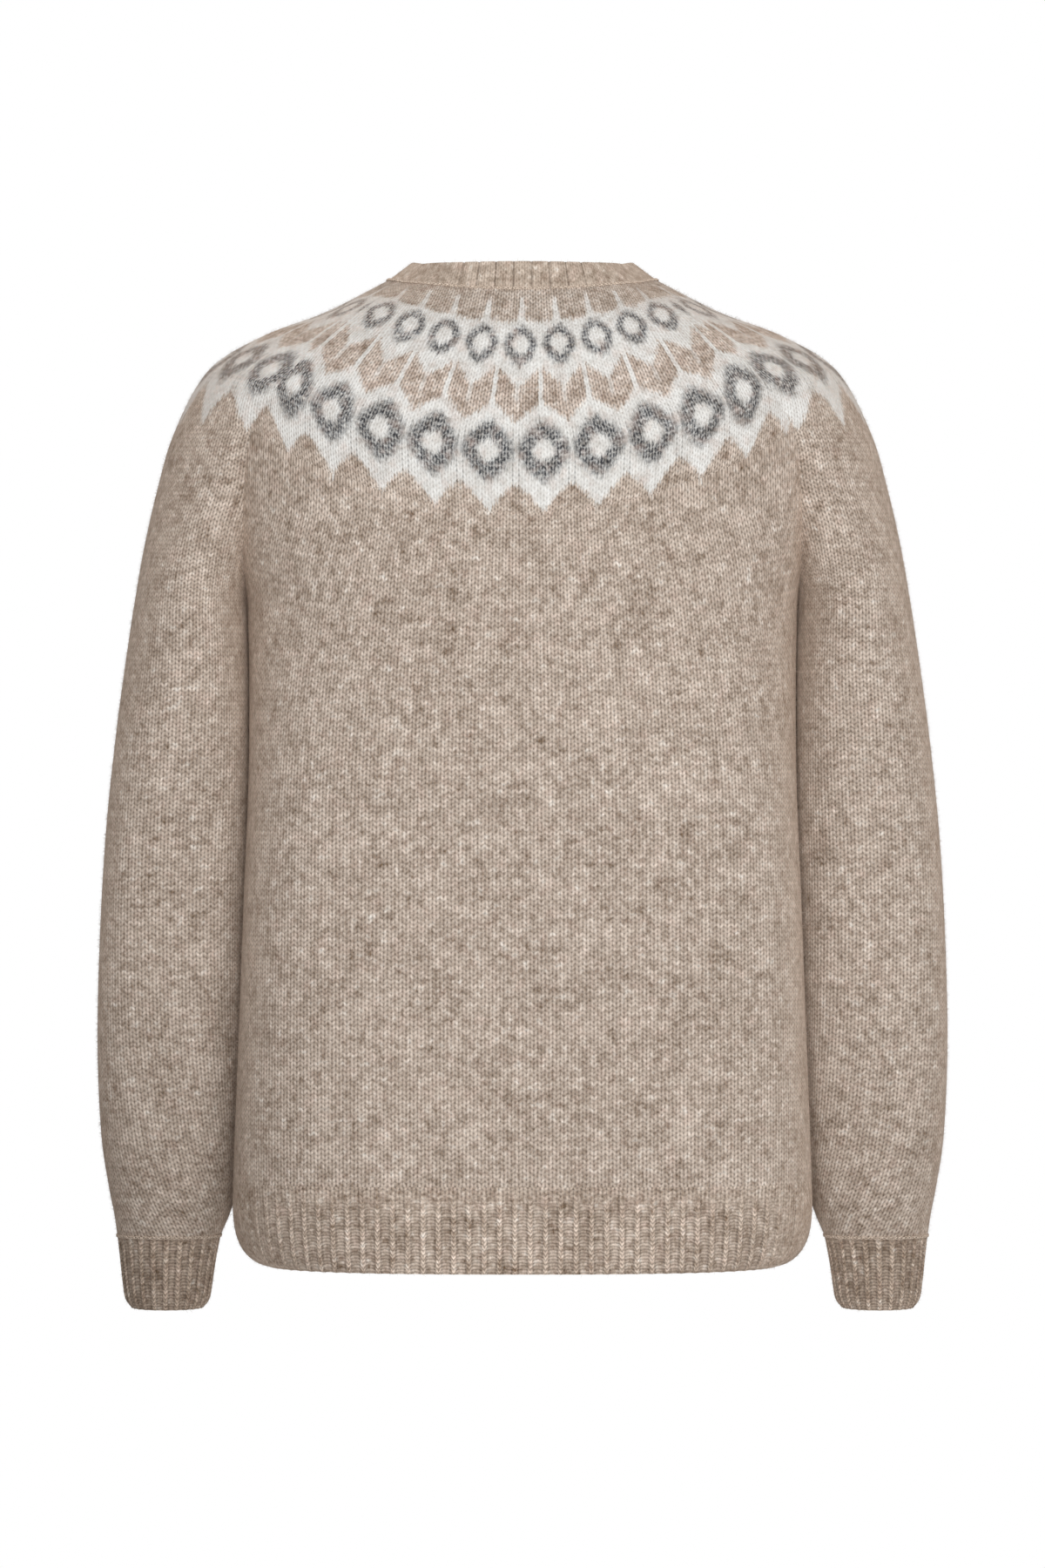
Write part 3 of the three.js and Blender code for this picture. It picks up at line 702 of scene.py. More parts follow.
def yoke_colour(chart_u, chart_v, wales, courses):
    """The pattern's colour before its heather, its wales, rows and the yarn's height."""
    per_repeat = (STITCHES[0] + (chart_v > INCREASES[0]) * (STITCHES[1] - STITCHES[0])
                  + (chart_v > INCREASES[1]) * (STITCHES[2] - STITCHES[1]))
    chart_wales = chart_u * per_repeat + 0.5
    wales = wales + (chart_v < CHART_END) * (chart_wales - wales)
    knit_wales, knit_courses = pushed(wales, courses)
    risen, height = cell(knit_wales, knit_courses)

    a = (chart_u + on_map(wales * 3.3, courses * 0.8, 4.0, 2.0, 0.75) * 0.05).nearest()
    nap_down = on_map(wales * 4.3, courses * 0.5, 6.0, 2.0, 0.75)
    row = chart_v + nap_down * 1.9 + (risen - knit_courses) * 0.7 - 0.35

    def below(limit):
        """1 further down the yoke than a course, and 0 above it."""
        return (row - limit).step(-0.8, 0.8)

    spike = (1 - (a - (row - SPIKE_ROW) * 0.01).step(0.01, 0.08)) * below(SPIKE_ROW) * 0.85
    top = (1 - below(TEETH_ROW + a * 1.8)) * (1 - spike)
    small_ring = ring(a, row - SMALL_ROW, *SMALL_RING)
    large_ring = ring(0.5 - a, row - LARGE_ROW, *LARGE_RING)
    start, end = [course - a * slope for course, slope in zip(CHEVRON_ROWS, CHEVRON_SLOPES)]
    chevron = below(start) * (1 - below(end)) * (1 - a.step(0.43, 0.475))
    chevron = chevron * (1 - (1 - a.step(0.02, 0.07)) * (1 - below(CHEVRON_CORE)) * 0.5)
    dashes = below(DASH_ROWS[0]) * (1 - below(DASH_ROWS[1]))
    dashes = dashes * (1 - abs(a - DASH_PLACE).step(0.01, 0.035))
    white = 1 - below((a * 2) ** 1.4 * 6.7 + POINT_ROW)

    marl = on_map(wales * 1.9, courses * 1.2, 3.0)
    streaked = (marl * 0.25 + 0.85).held()
    grey = marl * 0.6 + height * 1.1 - 0.1
    colour = blend(white, TAUPE, WHITE_WOOL)
    for share, wool in ((chevron * streaked, TAN), (top * streaked, TOP_TAN),
                        (dashes * (1 - height) * 0.7, MID_GREY),
                        (small_ring * grey.held(0.1), MID_GREY),
                        (large_ring * grey.held(0.15), CHARCOAL)):
        colour = blend(share, colour, wool)
    pale = white * (1 - top.math("MAXIMUM", chevron))
    strength = 1 - pale * 0.65 + (small_ring + large_ring) * 0.3
    return colour, wales, risen, height, strength, pale


chart_u, chart_v, stitch_u, stitch_v = begin("yoke_knit", "chart", "stitches")
pattern, wales, risen, height, strength, pale = yoke_colour(chart_u, chart_v, stitch_u, stitch_v)
wool = heathered(pattern, wales, stitch_v, risen, strength)
# Painted shade in the gaps between the stitches, with less of it on the white wool.
knit = finish(wool, 1 - (1 - height) * (PAINTED_GAP_SHADE - pale * 0.7), height, 0.0007, **WOOL)

# %% [markdown]
# ## Rib stitch
#
# On the crest of each rib runs one bright wale of V's, with a shadow along both sides. Both
# are painted into the colour: a painted highlight on the crest and a painted shadow beside it.
# The low purl stretch is darkened as painted shade. The purl stitches between two crests show
# as small arcs, one above another. The pieces' maps count ribs across, so a whole number is a
# crest.

# %% Ribs and neckband
PURL_ARCS = 1.4          # purl arcs in a course


def rib_finish(name, wool_dye, wales_per_rib, crest, arch, purl_shade, relief):
    """crest is half its width in ribs, arch how far the purl arcs bend."""
    ribs, courses, clear, _ = begin(name, "stitches", "clear")
    plain = cell(*pushed(ribs * wales_per_rib, courses))[1]
    ribs, courses = pushed(ribs * 2, courses, 0.07, 0.2)
    ribs = ribs / 2
    away = ribs.nearest()
    leg = (courses + away * (LEG_RISE / 2 / crest)).wave()
    bent = (courses - (0.5 - away) ** 2 * arch) * PURL_ARCS
    bump = bent.wave() * 0.6
    on_crest = 1 - away.step(crest * 0.75, crest * 1.15)
    beside = 1 - (abs(away - crest * 1.35) / (crest * 0.8)).step(0.0, 1.0)
    rib_height = bump + on_crest * (leg - bump)
    # The crest's wale is lightened as a painted highlight, and the strip beside it is darkened as
    # a painted shadow. The low purl stretch is darkened too, as painted shade.
    rib_shade = 1.0 - purl_shade + rib_height * purl_shade * 1.25 + on_crest * 0.13 - beside * 0.22
    # On plain stitches too, painted shade in the gaps beside the yarn.
    plain_shade = 1 - (1 - plain) * PAINTED_GAP_SHADE
    height, shade = [under + (over - under) * clear
                     for under, over in ((plain, rib_height), (plain_shade, rib_shade))]
    wool = heathered(wool_dye, ribs * 2.4, courses, bent.floor(), 1.15)
    return finish(wool, shade, height, relief, **WOOL)


# The hem's wool is a little darker than the body's taupe, and the cuffs' is darker still: painted
# shade low on the garment.
hem_rib = rib_finish("hem_rib", dye(189, 172, 157), 1.85, 0.16, 1.9, 0.38, 0.0007)
cuff_rib = rib_finish("cuff_rib", dye(176, 158, 142), 1.5, 0.19, 1.6, 0.4, 0.0007)
band_rib = rib_finish("band_rib", TAUPE, 1.45, 0.2, 1.6, 0.26, 0.0006)

grooves, courses, clear, _ = begin("neck_rib", "stitches", "clear")
neck_wales, neck_rows = pushed(grooves * 3.4, courses)
neck_risen, neck_height = cell(neck_wales, neck_rows)
slit_place = grooves + on_map(grooves * 2, courses * 0.7, 1.0, 2.0, 0.5) * 0.03
# Painted shade: the colour is darkened along the grooves.
painted_groove_shade = (1 - slit_place.nearest().step(0.02, 0.075)) * clear
painted_groove_shade = painted_groove_shade * (on_map(grooves * 9, courses * 0.8, 8.0, 1.0, 0.5) * 0.5 + 0.75).held()
dashes = on_map(grooves * 3.1, courses * 1.6, 6.0)
neck_wool = heathered(dye(182, 166, 151), neck_wales, courses, neck_risen, 0.9)
# The gaps between the stitches are darkened too, as painted shade, and the dashes lighten it at
# random.
neck_shade = (1 - (1 - neck_height) * 0.4 + dashes * 0.13) * (1 - painted_groove_shade * 0.5)
neck_rib = finish(neck_wool, neck_shade, neck_height, 0.0005, **WOOL)

# %% [markdown]
# ## From a grid to a sheet of cloth
#
# Blender's grid primitive has the right number of squares, and its points are laid on the
# garment's. Doubled points along a tube's closing line are merged, Solidify gives the sheet the
# wall of the frame's solid, inwards, and a bevel rounds the neckband's edges. Cloth could be
# draped by simulation instead, but this hangs filled out and still, and its form is known row by
# row.

# %% Cloth helpers
PANEL_WALL = 3.0
RIB_WALL = 3.5


def only(*pieces):
    """Makes these pieces the ones that operators act on."""
    bpy.ops.object.select_all(action="DESELECT")
    for piece in pieces:
        piece.select_set(True)
    bpy.context.view_layer.objects.active = pieces[-1]


def unit(vectors):
    return vectors / np.maximum(np.linalg.norm(vectors, axis=-1, keepdims=True), 1e-9)


def outward(points):
    """Unit normals of a grid of points, away from the garment's inside."""
    return unit(np.cross(np.gradient(points, axis=0), np.gradient(points, axis=1)))


def raised(points, height):
    """A grid whose points stand out by a height, which is another grid."""
    return points + outward(points) * height[..., None]


grids = {}


def grid_piece(name, points, maps):
    rows, columns = points.shape[:2]
    grids[name] = points, maps
    bpy.ops.mesh.primitive_grid_add(x_subdivisions=columns - 1, y_subdivisions=rows - 1,
                                    size=1, calc_uvs=True)
    piece = bpy.context.object
    piece.name = piece.data.name = name
    upward = points[::-1] * MM
    piece.data.vertices.foreach_set("co", upward.astype(np.float32).ravel())
    corners = np.empty(len(piece.data.loops), np.int32)
    piece.data.loops.foreach_get("vertex_index", corners)
    piece.data.uv_layers[0].name = "stitches"
    for map_name, parts in maps.items():
        layer = piece.data.uv_layers.get(map_name) or piece.data.uv_layers.new(name=map_name)
        flat = np.stack([part[::-1].ravel() for part in parts], 1)[corners]
        layer.uv.foreach_set("vector", flat.astype(np.float32).ravel())
    piece.data.update()
    return piece


def mode(name):
    bpy.ops.object.mode_set(mode=name)


def apply_modifier(piece, kind, **settings):
    only(piece)
    modifier = piece.modifiers.new(kind.lower(), kind)
    for setting, value in settings.items():
        setattr(modifier, setting, value)
    bpy.ops.object.modifier_apply(modifier=modifier.name)


def worn(piece, material):
    """Gives a piece its finish, and hangs it on the root body's empty."""
    piece.data.materials.append(material)
    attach(piece, "root")


def cloth(name, points, maps, node, wall, material, flat, area=None, edge=0.0):
    """Makes a sheet of cloth from a grid, and hides the frame's node that it stands for.

    Its tube is closed, it gets its wall and finish, and its free edges are rounded. `flat`, its
    size before it is sewn, in metres, and `area`, its cut area where that isn't a rectangle, are
    not used.
    """
    piece = grid_piece(name, points, maps)
    only(piece)
    mode("EDIT")
    bpy.ops.mesh.select_all(action="SELECT")
    bpy.ops.mesh.remove_doubles(threshold=0.00002)
    mode("OBJECT")
    apply_modifier(piece, "SOLIDIFY", thickness=wall * MM, offset=-1, use_even_offset=False)
    if edge:
        apply_modifier(piece, "BEVEL", width=edge * MM, segments=2, limit_method="ANGLE",
                       angle_limit=math.radians(60))
    bpy.ops.object.shade_smooth_by_angle(angle=math.radians(50))
    bpy.ops.object.select_all(action="DESELECT")
    worn(piece, material)
    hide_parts(node)
    print(f"{piece.name}: {len(piece.data.polygons)} faces")


# %% [markdown]
# ## The panels
#
# The back, the two fronts and the sleeves are stocking stitch. They meet along the raglan lines,
# where the columns of stitches change direction. Above the underarm, where the hanging sleeve
# pulls, the cloth sinks along these lines in a soft trough. The right front rises to the
# buttonhole band, which laps over the button band.

# %% Seams, lap and panels
BAND_WIDTH = 28.0
BAND_LIFT = RIB_WALL + 0.4
LIFT_REACH = 50.0
TROUGH = (0, 0, 0, 0, 1.5, 5.0, 5.5, 0)     # its depth at the yoke's rows
TROUGH_WIDTH = 8.0


def sunk(points, places, both_ends=True):
    """A grid with the trough along its raglan seams, which are at the ends of its rows."""
    run = lengths_along(points)
    off = run[:, -1:] - run
    if both_ends:
        off = np.minimum(off, run)
    depth = by_row(TROUGH, places) * np.exp(-(off / TROUGH_WIDTH) ** 2)
    return points - stacked(0, np.sign(points[..., 1]) * depth, 0)


back_points = sunk(back_points, PANEL_PLACES)
front_points = sunk(front_points, PANEL_PLACES, both_ends=False)
sleeve_points = sunk(sleeve_points, sleeve_places)
print("the trough is", max(TROUGH), "mm deep")


def lift_along(edge):
    """The way from the button band out to the buttonhole band, at each point of a line."""
    slope = np.gradient(edge, axis=0)
    out = np.stack([0 * slope[:, 0], slope[:, 2], -slope[:, 1]], 1)
    return BAND_LIFT * unit(out)


def nearness(points):
    """1 at the buttonhole band, and 0 at LIFT_REACH from it and beyond."""
    return 1 - smooth_step((-points[..., 0] - BAND_WIDTH / 2) / LIFT_REACH)


def lapped(points, lift):
    """A right-hand grid, raised towards the buttonhole band."""
    return points + lift[:, None, :] * nearness(points)[..., None]


def mirrored_maps(maps):
    return {name: (-u[:, ::-1], v[:, ::-1]) for name, (u, v) in maps.items()}


edge_lift = lift_along(front_points[:, 0])
front, sleeve = ((0.24, 0.62), 0.125), ((0.35, 0.66), 0.185)     # flat size and cut area
for name, points, maps, node, cut in (
        ("back_panel", back_points, back_maps, "back", ((0.50, 0.66), 0.27)),
        ("left_front", front_points, front_maps, "front_left", front),
        ("right_front", lapped(mirrored(front_points), edge_lift), mirrored_maps(front_maps),
         "front_right", front),
        ("left_sleeve", sleeve_points, sleeve_map, "sleeve_left", sleeve),
        ("right_sleeve", mirrored(sleeve_points), mirrored_maps(sleeve_map), "sleeve_right",
         sleeve)):
    cloth(name, points, maps, node, PANEL_WALL, knit, *cut)

# %% [markdown]
# ## Ribs
#
# The hem and the cuffs are knitted as one narrow knit wale and a wider purl stretch in turn,
# so that they pull in and stretch. The ridges are real: each grid point is pushed in or out
# along its normal by the rib's profile. The hem's ribs lose themselves towards the sides.

# %% The ribs' profile
RIB = 8.8                # from one rib to the next
RIB_COLUMNS = 8          # grid columns in each rib
RIB_HEIGHT = 1.3
RIB_SHEET = RIB_WALL - RIB_HEIGHT
RIDGE_WIDTH = 0.19       # of a rib
EVEN_OUT = 9             # how strongly the ribs crowd at an end rather than lean
SIDE_LEFT = 0.15         # of a rib's height, at the side seam
END_LEFT = 0.25          # of its height, at the end of the sheet
END_REACH = 7.0


def rib_relief(count):
    """0 on the crest of a rib and -RIB_HEIGHT in the purl stretch beside it."""
    away = abs(count - np.round(count))
    return RIB_HEIGHT * (np.exp(-(away / RIDGE_WIDTH) ** 2) - 1)


def ribbed(lines, count, fade, side_fade=0.0, steady=None):
    """The grid and the maps of a sheet on lines round the garment, with `count` ribs.

    The ribs grow clear over `fade` millimetres from the top, and lose themselves over
    `side_fade` before the side seam. Where the sheet narrows towards its end, they still hang
    straight down from the end (0 or 1) or middle (0.5) that `steady` gives.
    """
    shares = np.linspace(0, 1, count * RIB_COLUMNS + 1)
    placed = shares
    if steady is not None:
        length = lengths_along(lines)[:, -1:]
        reach = max(steady, 1 - steady)
        off = (shares - steady) / reach
        crowded = (length[0] - length) * signed_power(off, EVEN_OUT)
        placed = steady + reach * (length[0] * off - crowded) / length
    points = resampled(lines, placed)
    run = length_down(points[:, len(shares) // 2])
    ribs, courses, clear = np.broadcast_arrays(
        shares * count, (run / COURSE)[:, None], smooth_step(run / fade)[:, None])
    if side_fade:
        reach = abs(points[:1, :, 0])
        lost = smooth_step((reach - reach.max() + side_fade) / side_fade)
        clear = clear * (1 - (1 - SIDE_LEFT) * lost)
    ending = 1 - (1 - END_LEFT) * smooth_step((run - run[-1] + END_REACH) / END_REACH)
    points = raised(points, rib_relief(ribs) * clear * ending[:, None])
    return points, {"stitches": (ribs, courses), "clear": (clear, 0 * clear)}


HEM_FADE, CUFF_FADE, SIDE_FADE = 20.0, 5.0, 42.0
hem_places = np.linspace(0, HEM_RIB.last, 21)
hem_behind = with_mirror(body_quarter(HEM_RIB, hem_places, "back")[:, ::-1])
hem_front = body_quarter(HEM_RIB, hem_places, "front", FRONT_EDGE)
hem_lift = np.tile((0.0, -BAND_LIFT, 0.0), (len(hem_places), 1))
cuff_lines = arm_ring(CUFF, np.linspace(0, CUFF.last, 17))
hem, cuff = (HEM_FADE, SIDE_FADE), (CUFF_FADE,)
for name, lines, count, fades, node, material, flat in (
        ("hem_rib_behind", hem_behind, 55, (*hem, 0.5), "hem_rib_back", hem_rib, (0.49, 0.056)),
        ("hem_rib_left", hem_front, 26, (*hem, 0), "hem_rib_front_left", hem_rib, (0.23, 0.056)),
        ("hem_rib_right", lapped(mirrored(hem_front), hem_lift), 26, (*hem, 1),
         "hem_rib_front_right", hem_rib, (0.23, 0.056)),
        ("left_cuff", cuff_lines, 24, cuff, "cuff_left", cuff_rib, (0.17, 0.048)),
        ("right_cuff", mirrored(cuff_lines), 24, cuff, "cuff_right", cuff_rib, (0.17, 0.048))):
    cloth(name, *ribbed(lines, count, *fades), node, RIB_SHEET, material, flat)

# %% [markdown]
# ## The neckband and the button bands
#
# The neckband is a double band: it is knitted twice as high, folded in and linked down, so
# it is thick and nearly smooth, with narrow grooves. The two bands run from its top edge to
# the hem.

# %% Neckband
# The share of its distance from the middle that the top edge keeps, and its height.
NECK_RISE = {"back": (0.943, 18.0), "side": (0.825, 11.5), "front": (0.925, 17.0)}
GROOVE = 12.2            # between two grooves
GROOVE_DEPTH = 1.3
GROOVE_WIDTH = 0.07      # of the way to the next
GROOVES_END = 36.0       # they lose themselves further out than this
GROOVES_FADE = 16.0


def neckband_points(seam, rise):
    """Points at a share of the band's height above points of the neck seam."""
    facing = seam[:, 1:2] / np.hypot(seam[:, :1], seam[:, 1:2])
    ahead = np.where(facing > 0, NECK_RISE["back"], NECK_RISE["front"])
    side = np.array(NECK_RISE["side"])
    shrink, height = (side + (ahead - side) * facing ** 2).T
    scale = 1 + (shrink - 1) * rise
    return np.stack([seam[:, 0] * scale, seam[:, 1] * scale, seam[:, 2] + height * rise], 1)


top = np.array([0.0])
neck_seam = with_mirror(np.concatenate([
    yoke_quarter(top, "front", FRONT_EDGE), arm_arc(top)[:, 1:],
    yoke_quarter(top, "back")[:, -2::-1]], 1))
neck_length = lengths_along(neck_seam)[0, -1]
neck_count = round(neck_length / GROOVE)
print("the neck seam is", round(neck_length), "mm long, with", neck_count, "grooves")
neck_shares = np.linspace(0, 1, neck_count * 10 + 1)
seam_line = resampled(neck_seam, neck_shares)[0]
rises = np.linspace(1, 0, 9)
neck_points = np.array([neckband_points(seam_line, rise) for rise in rises])
in_front = (neck_points[..., 0] < 0) & (neck_points[..., 1] < 0)
neck_points = neck_points + edge_lift[0] * (nearness(neck_points) * in_front)[..., None]
grooves = np.broadcast_to(neck_shares * neck_count, neck_points.shape[:2])
groove_clear = 1 - smooth_step((abs(neck_points[..., 0]) - GROOVES_END) / GROOVES_FADE)
in_groove = np.exp(-((grooves - np.round(grooves)) / GROOVE_WIDTH) ** 2) * groove_clear
neck_points = raised(neck_points, -GROOVE_DEPTH * in_groove)
neck_courses = ((1 - rises) * NECK_RISE["back"][1] / COURSE)[:, None] + 0 * grooves
neck_maps = {"stitches": (grooves, neck_courses), "clear": (groove_clear, 0 * groove_clear)}
cloth("neck_band", neck_points, neck_maps, "neckband", RIB_WALL, neck_rib,
      (round(neck_length * MM, 3), 0.02), edge=1.2)

# %% Button bands
BAND_RIBS = 4
BAND_RELIEF = 0.6        # its ribs are lower than the hem's
band_seam = front_points[:, 0]
neck_edge = np.array([neckband_points(band_seam[:1], rise)[0] for rise in rises])
band_edge = np.concatenate([neck_edge, band_seam[1:], hem_front[1:, 0]])
band_lift = lift_along(band_edge)


def band(lift):
    """The grid and the maps of a band, lifted by a share of the way to the upper one."""
    across = np.linspace(0, 1, BAND_RIBS * RIB_COLUMNS + 1)
    line = band_edge + band_lift * lift
    points = stacked(BAND_WIDTH * (across - 0.5), line[:, 1:2], line[:, 2:])
    ribs, courses = np.broadcast_arrays(across * BAND_RIBS + 0.5,
                                        (length_down(band_edge) / COURSE)[:, None])
    clear = np.ones(ribs.shape)
    return (raised(points, BAND_RELIEF * rib_relief(ribs)),
            {"stitches": (ribs, courses), "clear": (clear, clear)})


cloth("under_band", *band(0), "button_band", RIB_SHEET, band_rib, (0.028, 0.62))
cloth("over_band", *band(1), "buttonhole_band", RIB_SHEET, band_rib, (0.028, 0.62))

# %% [markdown]
# ## Buttons
#
# Seven dark horn buttons, each turned from a disc: a raised rim round a dished middle with four
# holes. One is modelled. A disc's face is inset twice, the inner part is pushed in, the edges are
# eased by a small bevel and the holes are cut by a Boolean. The copies take the places of the
# frame's buttons and lean with the band.

# %% One button
BUTTON_RADIUS = 7.5
BUTTON_THICKNESS = 3.0
BUTTON_DISH = 1.1
DISH_SLOPE = 0.9
RIM = 1.6
HOLE_RADIUS = 0.9
HOLE_OFFSET = 2.1

begin("horn")
grain = noise(scaled(here(), (1.0, 1.0, 3.2)), 260, 4.0, 0.6)
specks = noise(here(), 1900, 2.0, 0.6)
horn_colour = blend((grain * 0.6 + 0.4).held(), dye(58, 40, 29), dye(104, 76, 54))
horn = finish(horn_colour, specks * 0.16 + 1, grain * 0.3 + specks * 0.1, 0.00006,
              Roughness=0.28, Coat_Weight=0.35, Coat_Roughness=0.2)


def joined(pieces):
    only(*pieces)
    bpy.ops.object.join()
    return bpy.context.object


bpy.ops.mesh.primitive_cylinder_add(vertices=40, radius=BUTTON_RADIUS * MM,
                                    depth=BUTTON_THICKNESS * MM)
first_button = bpy.context.object
mode("EDIT")
bpy.ops.mesh.select_mode(type="FACE")
bpy.ops.mesh.select_all(action="DESELECT")
mode("OBJECT")
for face in first_button.data.polygons:
    face.select = face.normal.z > 0.9
mode("EDIT")
bpy.ops.mesh.inset(thickness=RIM * MM)
bpy.ops.mesh.inset(thickness=DISH_SLOPE * MM)
bpy.ops.transform.translate(value=(0, 0, -BUTTON_DISH * MM))
bpy.ops.mesh.inset(thickness=DISH_SLOPE * MM)
mode("OBJECT")
apply_modifier(first_button, "BEVEL", width=0.45 * MM, segments=3, limit_method="ANGLE",
               angle_limit=math.radians(35))
drills = []
for across in (-HOLE_OFFSET, HOLE_OFFSET):
    for up in (-HOLE_OFFSET, HOLE_OFFSET):
        bpy.ops.mesh.primitive_cylinder_add(vertices=16, radius=HOLE_RADIUS * MM,
                                            depth=4 * BUTTON_THICKNESS * MM,
                                            location=(across * MM, up * MM, 0))
        drills.append(bpy.context.object)
drill = joined(drills)
apply_modifier(first_button, "BOOLEAN", operation="DIFFERENCE", object=drill, solver="EXACT")
bpy.data.objects.remove(drill)
print("a button has", len(first_button.data.polygons), "faces")

# %% [markdown]
# Thread holds each button: doubled stitches through its four holes. A stitch is half a ring
# above the button and half below it, so it is made as a torus on edge, pressed flatter.

# %% Thread
THREAD_RADIUS = 0.32


def yarn_finish(name, plies, edge, dark, light, shade, relief):
    """Twisted yarn. `plies` is how fine its twist is, shade how much it darkens, and its level."""
    begin(name)
    twist = noise(here(), plies)
    colour = blend(twist.step(-edge, edge), dye(*dark), dye(*light))
    return finish(colour, twist * shade[0] + shade[1], twist, relief, **WOOL)


thread = yarn_finish("thread", 2600, 0.6, (126, 108, 92), (160, 142, 125), (0.2, 1), 0.0001)
strands = []
for up in (-HOLE_OFFSET, HOLE_OFFSET):
    for beside in (-0.33, 0.33):
        bpy.ops.mesh.primitive_torus_add(
            major_segments=20, minor_segments=7, major_radius=HOLE_OFFSET * MM,
            minor_radius=THREAD_RADIUS * MM, rotation=(UPRIGHT, 0, 0),
            location=(0, (up + beside) * MM, 0.2 * MM))
        strands.append(bpy.context.object)
        strands[-1].scale = (1, 0.75, 1)
first_thread = joined(strands)
bpy.ops.object.transform_apply(location=True, rotation=True, scale=True)


def placed_copy(original, name, centre, tilt, material):
    """A copy with its own mesh, turned from facing up to facing out and moved to its place."""
    piece = original.copy()
    piece.data = original.data.copy()
    piece.name = piece.data.name = name
    bpy.context.collection.objects.link(piece)
    only(piece)
    piece.rotation_euler = (tilt, 0, 0)
    piece.location = centre
    bpy.ops.object.transform_apply(location=True, rotation=True, scale=True)
    bpy.ops.object.shade_smooth_by_angle(angle=math.radians(40))
    worn(piece, material)
    return piece


button_places = []
for number in range(1, 8):
    centre = np.mean(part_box(f"button_{number}"), axis=0)
    height, depth = picked(band_lift[:, 1:], -band_edge[:, 2], [-centre[2] / MM])[0]
    tilt = math.atan2(-height, depth)
    button = placed_copy(first_button, f"horn_button_{number}", centre, tilt, horn)
    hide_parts(f"button_{number}")
    placed_copy(first_thread, f"button_thread_{number}", centre, tilt, thread)
    button_places.append((centre, tilt))
bpy.data.objects.remove(first_button)
bpy.data.objects.remove(first_thread)
print("buttons at heights", [round(float(centre[2]), 3) for centre, _ in button_places])

# %% [markdown]
# ## Links of yarn
#
# The neckband and the cuffs are linked on: a chain of yarn loops shows where they meet the
# panels. The buttonholes are edged with stitches side by side. All of them are one small torus,
# copied along a line as one joined mesh, since hundreds of objects would be slow. Each copy is
# turned to three directions: along the line, across it and outwards.

# %% Chains and buttonholes
CHAIN_STEP = 2.9         # from one link of a chain to the next
CHAIN_SWING = 0.25
bpy.ops.mesh.primitive_torus_add(major_segments=10, minor_segments=5, major_radius=0.7,
                                 minor_radius=0.3)
one_link = bpy.context.object
link_points = np.array([vertex.co for vertex in one_link.data.vertices])
link_faces = np.array([face.vertices for face in one_link.data.polygons])
bpy.data.objects.remove(one_link)


def mesh_piece(name, vertices, faces, material):
    """A piece from arrays: points in millimetres, and the numbers of each face's points."""
    mesh = bpy.data.meshes.new(name)
    mesh.from_pydata((vertices.reshape(-1, 3) * MM).tolist(), [], faces.tolist())
    piece = bpy.data.objects.new(name, mesh)
    bpy.context.collection.objects.link(piece)
    worn(piece, material)
    print(name, "has", len(faces), "faces")
    return piece


def laid_links(name, places, along, out, size, material):
    """One mesh of loops at places, in millimetres, each stretched along its own direction."""
    along, out = unit(along), unit(out)
    length, width, thickness = size
    frames = np.stack([along * length / 2, unit(np.cross(out, along)) * width / 2,
                       out * thickness], 1)
    vertices = places[:, None, :] + np.einsum("va,nab->nvb", link_points, frames)
    faces = link_faces[None] + len(link_points) * np.arange(len(places))[:, None, None]
    only(mesh_piece(name, vertices, faces.reshape(-1, 4), material))
    bpy.ops.object.shade_smooth()


def chain(name, line, out, lift):
    """Links along a line, each swung a little to one side and the other in turn."""
    run = length_down(line)
    stops = np.linspace(0, run[-1], int(run[-1] / CHAIN_STEP))
    places, normals = picked(line, run, stops), unit(picked(out, run, stops))
    along = np.gradient(places, axis=0)
    swing = np.where(np.arange(len(stops)) % 2, CHAIN_SWING, -CHAIN_SWING)[:, None]
    laid_links(name, places + normals * lift,
               unit(along) + unit(np.cross(normals, along)) * swing, normals,
               (CHAIN_STEP * 1.25, 1.9, 1.5), linking_yarn)


linking_yarn = yarn_finish("linking_yarn", 900, 0.5, (190, 172, 156), (222, 206, 190),
                           (0.15, 0.95), 0.0002)
for name, lines, row, lift in (("neck_chain", neck_points, -1, 0.8),
                               ("left_cuff_chain", cuff_lines, 0, 0.4),
                               ("right_cuff_chain", mirrored(cuff_lines), 0, 0.4)):
    chain(name, lines[row], outward(lines)[row], lift)

HOLE_HALF = 8.3          # half a buttonhole's length
HOLE_SIDE = 0.9          # from its middle to the stitches along it
stitches = [(beside, along) for beside in (-HOLE_SIDE, HOLE_SIDE)
            for along in np.arange(-HOLE_HALF, HOLE_HALF + 0.1, 1.1)]
hole_places, hole_out = [], []
for centre, tilt in button_places:
    out = np.array([0, -math.sin(tilt), math.cos(tilt)])
    down = np.array([0, math.cos(tilt), math.sin(tilt)])
    on_band = centre / MM - out * (BUTTON_THICKNESS / 2 + 0.1)
    hole_places += [on_band + down * along + (beside, 0, 0) for beside, along in stitches]
    hole_out += [out] * len(stitches)
laid_links("buttonhole_stitches", np.array(hole_places), np.tile((1.0, 0, 0), (len(hole_out), 1)),
           np.array(hole_out), (2.0, 1.1, 0.7), thread)

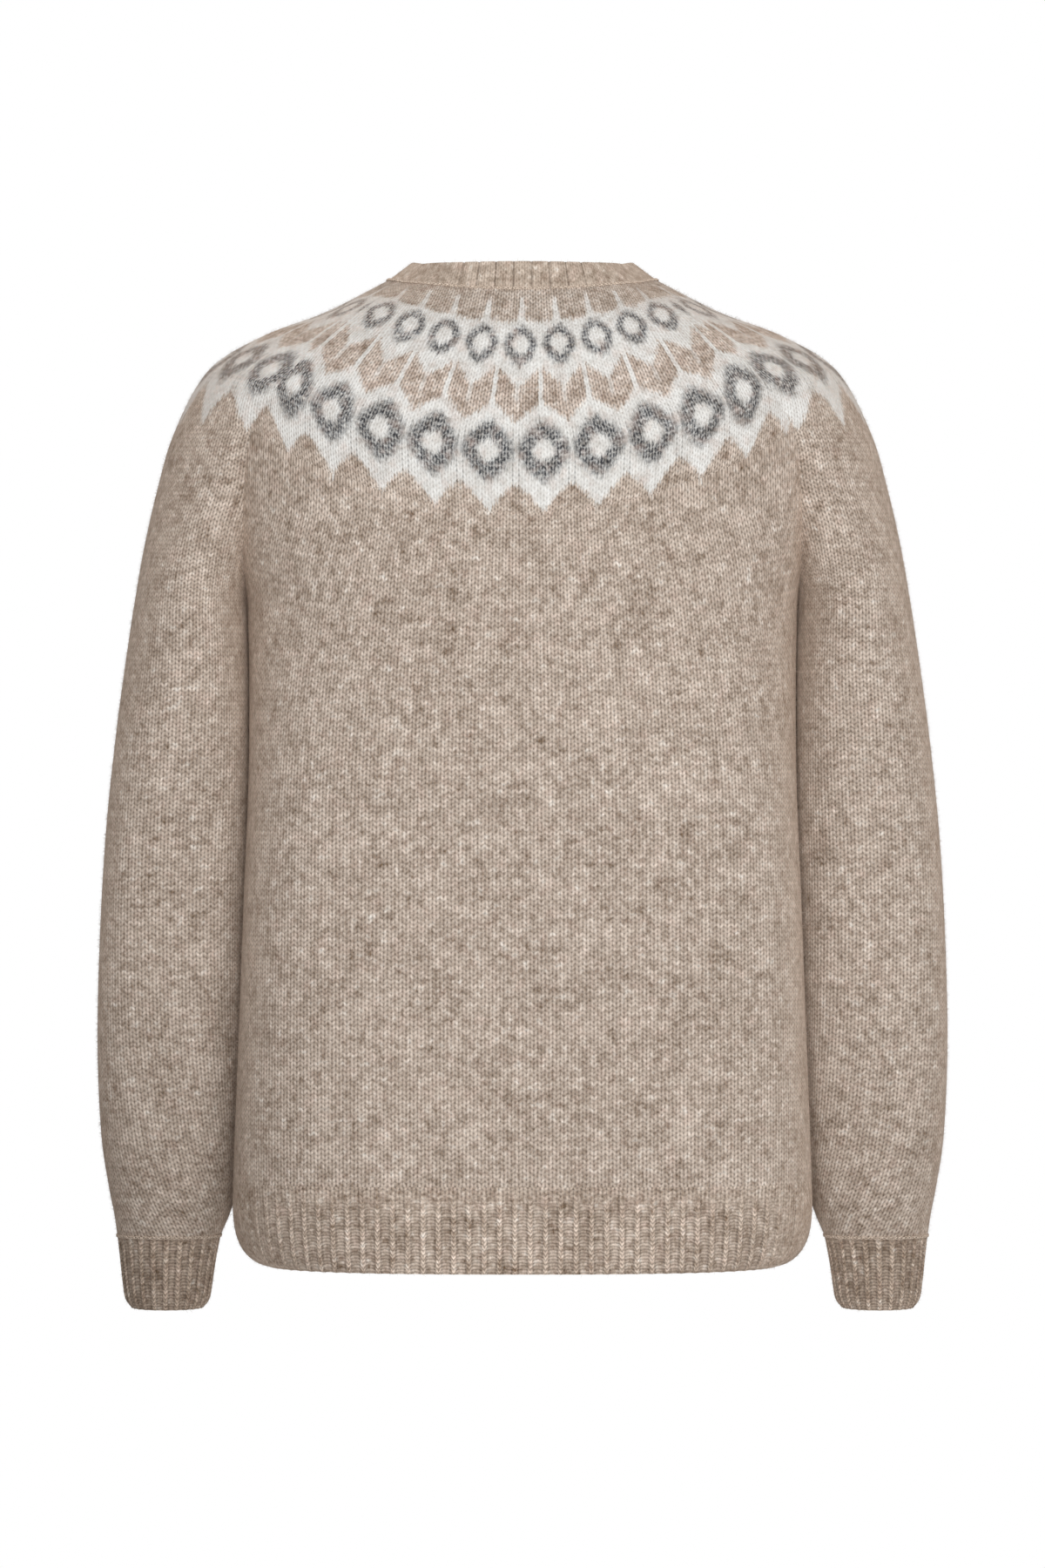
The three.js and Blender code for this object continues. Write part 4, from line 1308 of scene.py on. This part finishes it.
# %% [markdown]
# ## Fluff
#
# Brushing raises fibres all over the cloth, which soften every outline and hide the edges of the
# stitches. Each is one slim triangle with its root in the cloth, and a sheet's fibres are one
# mesh, built from arrays. Blender's hair could grow them too, but a mesh goes with the part
# wherever it is used. A fibre takes its root's place on the maps, so it has its yarn's colour.

# %% Fibres
FIBRE_WIDTH = 0.17
FIBRE_LENGTHS = (2.0, 5.0)
ROOT_DEPTH = 0.2


def between(grid, row, column, a, b):
    """Values of a grid inside its squares: a is the share across, b the share down."""
    upper = grid[row, column] * (1 - a) + grid[row, column + 1] * a
    lower = grid[row + 1, column] * (1 - a) + grid[row + 1, column + 1] * a
    return upper * (1 - b) + lower * b


def fluff(name, count, material, longest):
    points, maps = grids[name]
    chances = np.random.default_rng(11)
    down, along = np.diff(points, axis=0)[:, :-1], np.diff(points, axis=1)[:-1]
    area = np.linalg.norm(np.cross(down, along), axis=2).ravel()
    squares = chances.choice(len(area), count, p=area / area.sum())
    row, column = np.divmod(squares, points.shape[1] - 1)
    place = row, column, *chances.random((2, count, 1))
    root = between(points, *place)
    out = unit(between(outward(points), *place))
    flat = unit(np.cross(out, chances.normal(size=(count, 3))))
    lean = unit(flat + out * chances.uniform(0.05, 0.75, (count, 1)))
    tip = root + lean * chances.uniform(*FIBRE_LENGTHS, (count, 1)) * longest
    side = unit(np.cross(out, lean)) * FIBRE_WIDTH / 2
    root = root - out * ROOT_DEPTH
    piece = mesh_piece(name + "_fluff", np.stack([root + side, root - side, tip], 1),
                       np.arange(3 * count).reshape(-1, 3), material)
    for map_name, parts in maps.items():
        at_root = np.repeat(between(np.stack(parts, 2), *place), 3, axis=0)
        layer = piece.data.uv_layers.new(name=map_name)
        layer.uv.foreach_set("vector", at_root.astype(np.float32).ravel())


for names, count, material, longest in (
        ("back_panel", 60000, knit, 1.0), ("left_front right_front", 28000, knit, 1.0),
        ("left_sleeve right_sleeve", 42000, knit, 1.0), ("hem_rib_behind", 5000, hem_rib, 0.8),
        ("hem_rib_left hem_rib_right", 2400, hem_rib, 0.8),
        ("left_cuff right_cuff", 2600, cuff_rib, 0.8), ("neck_band", 2600, neck_rib, 0.7),
        ("under_band over_band", 2600, band_rib, 0.6)):
    for name in names.split():
        fluff(name, count, material, longest)
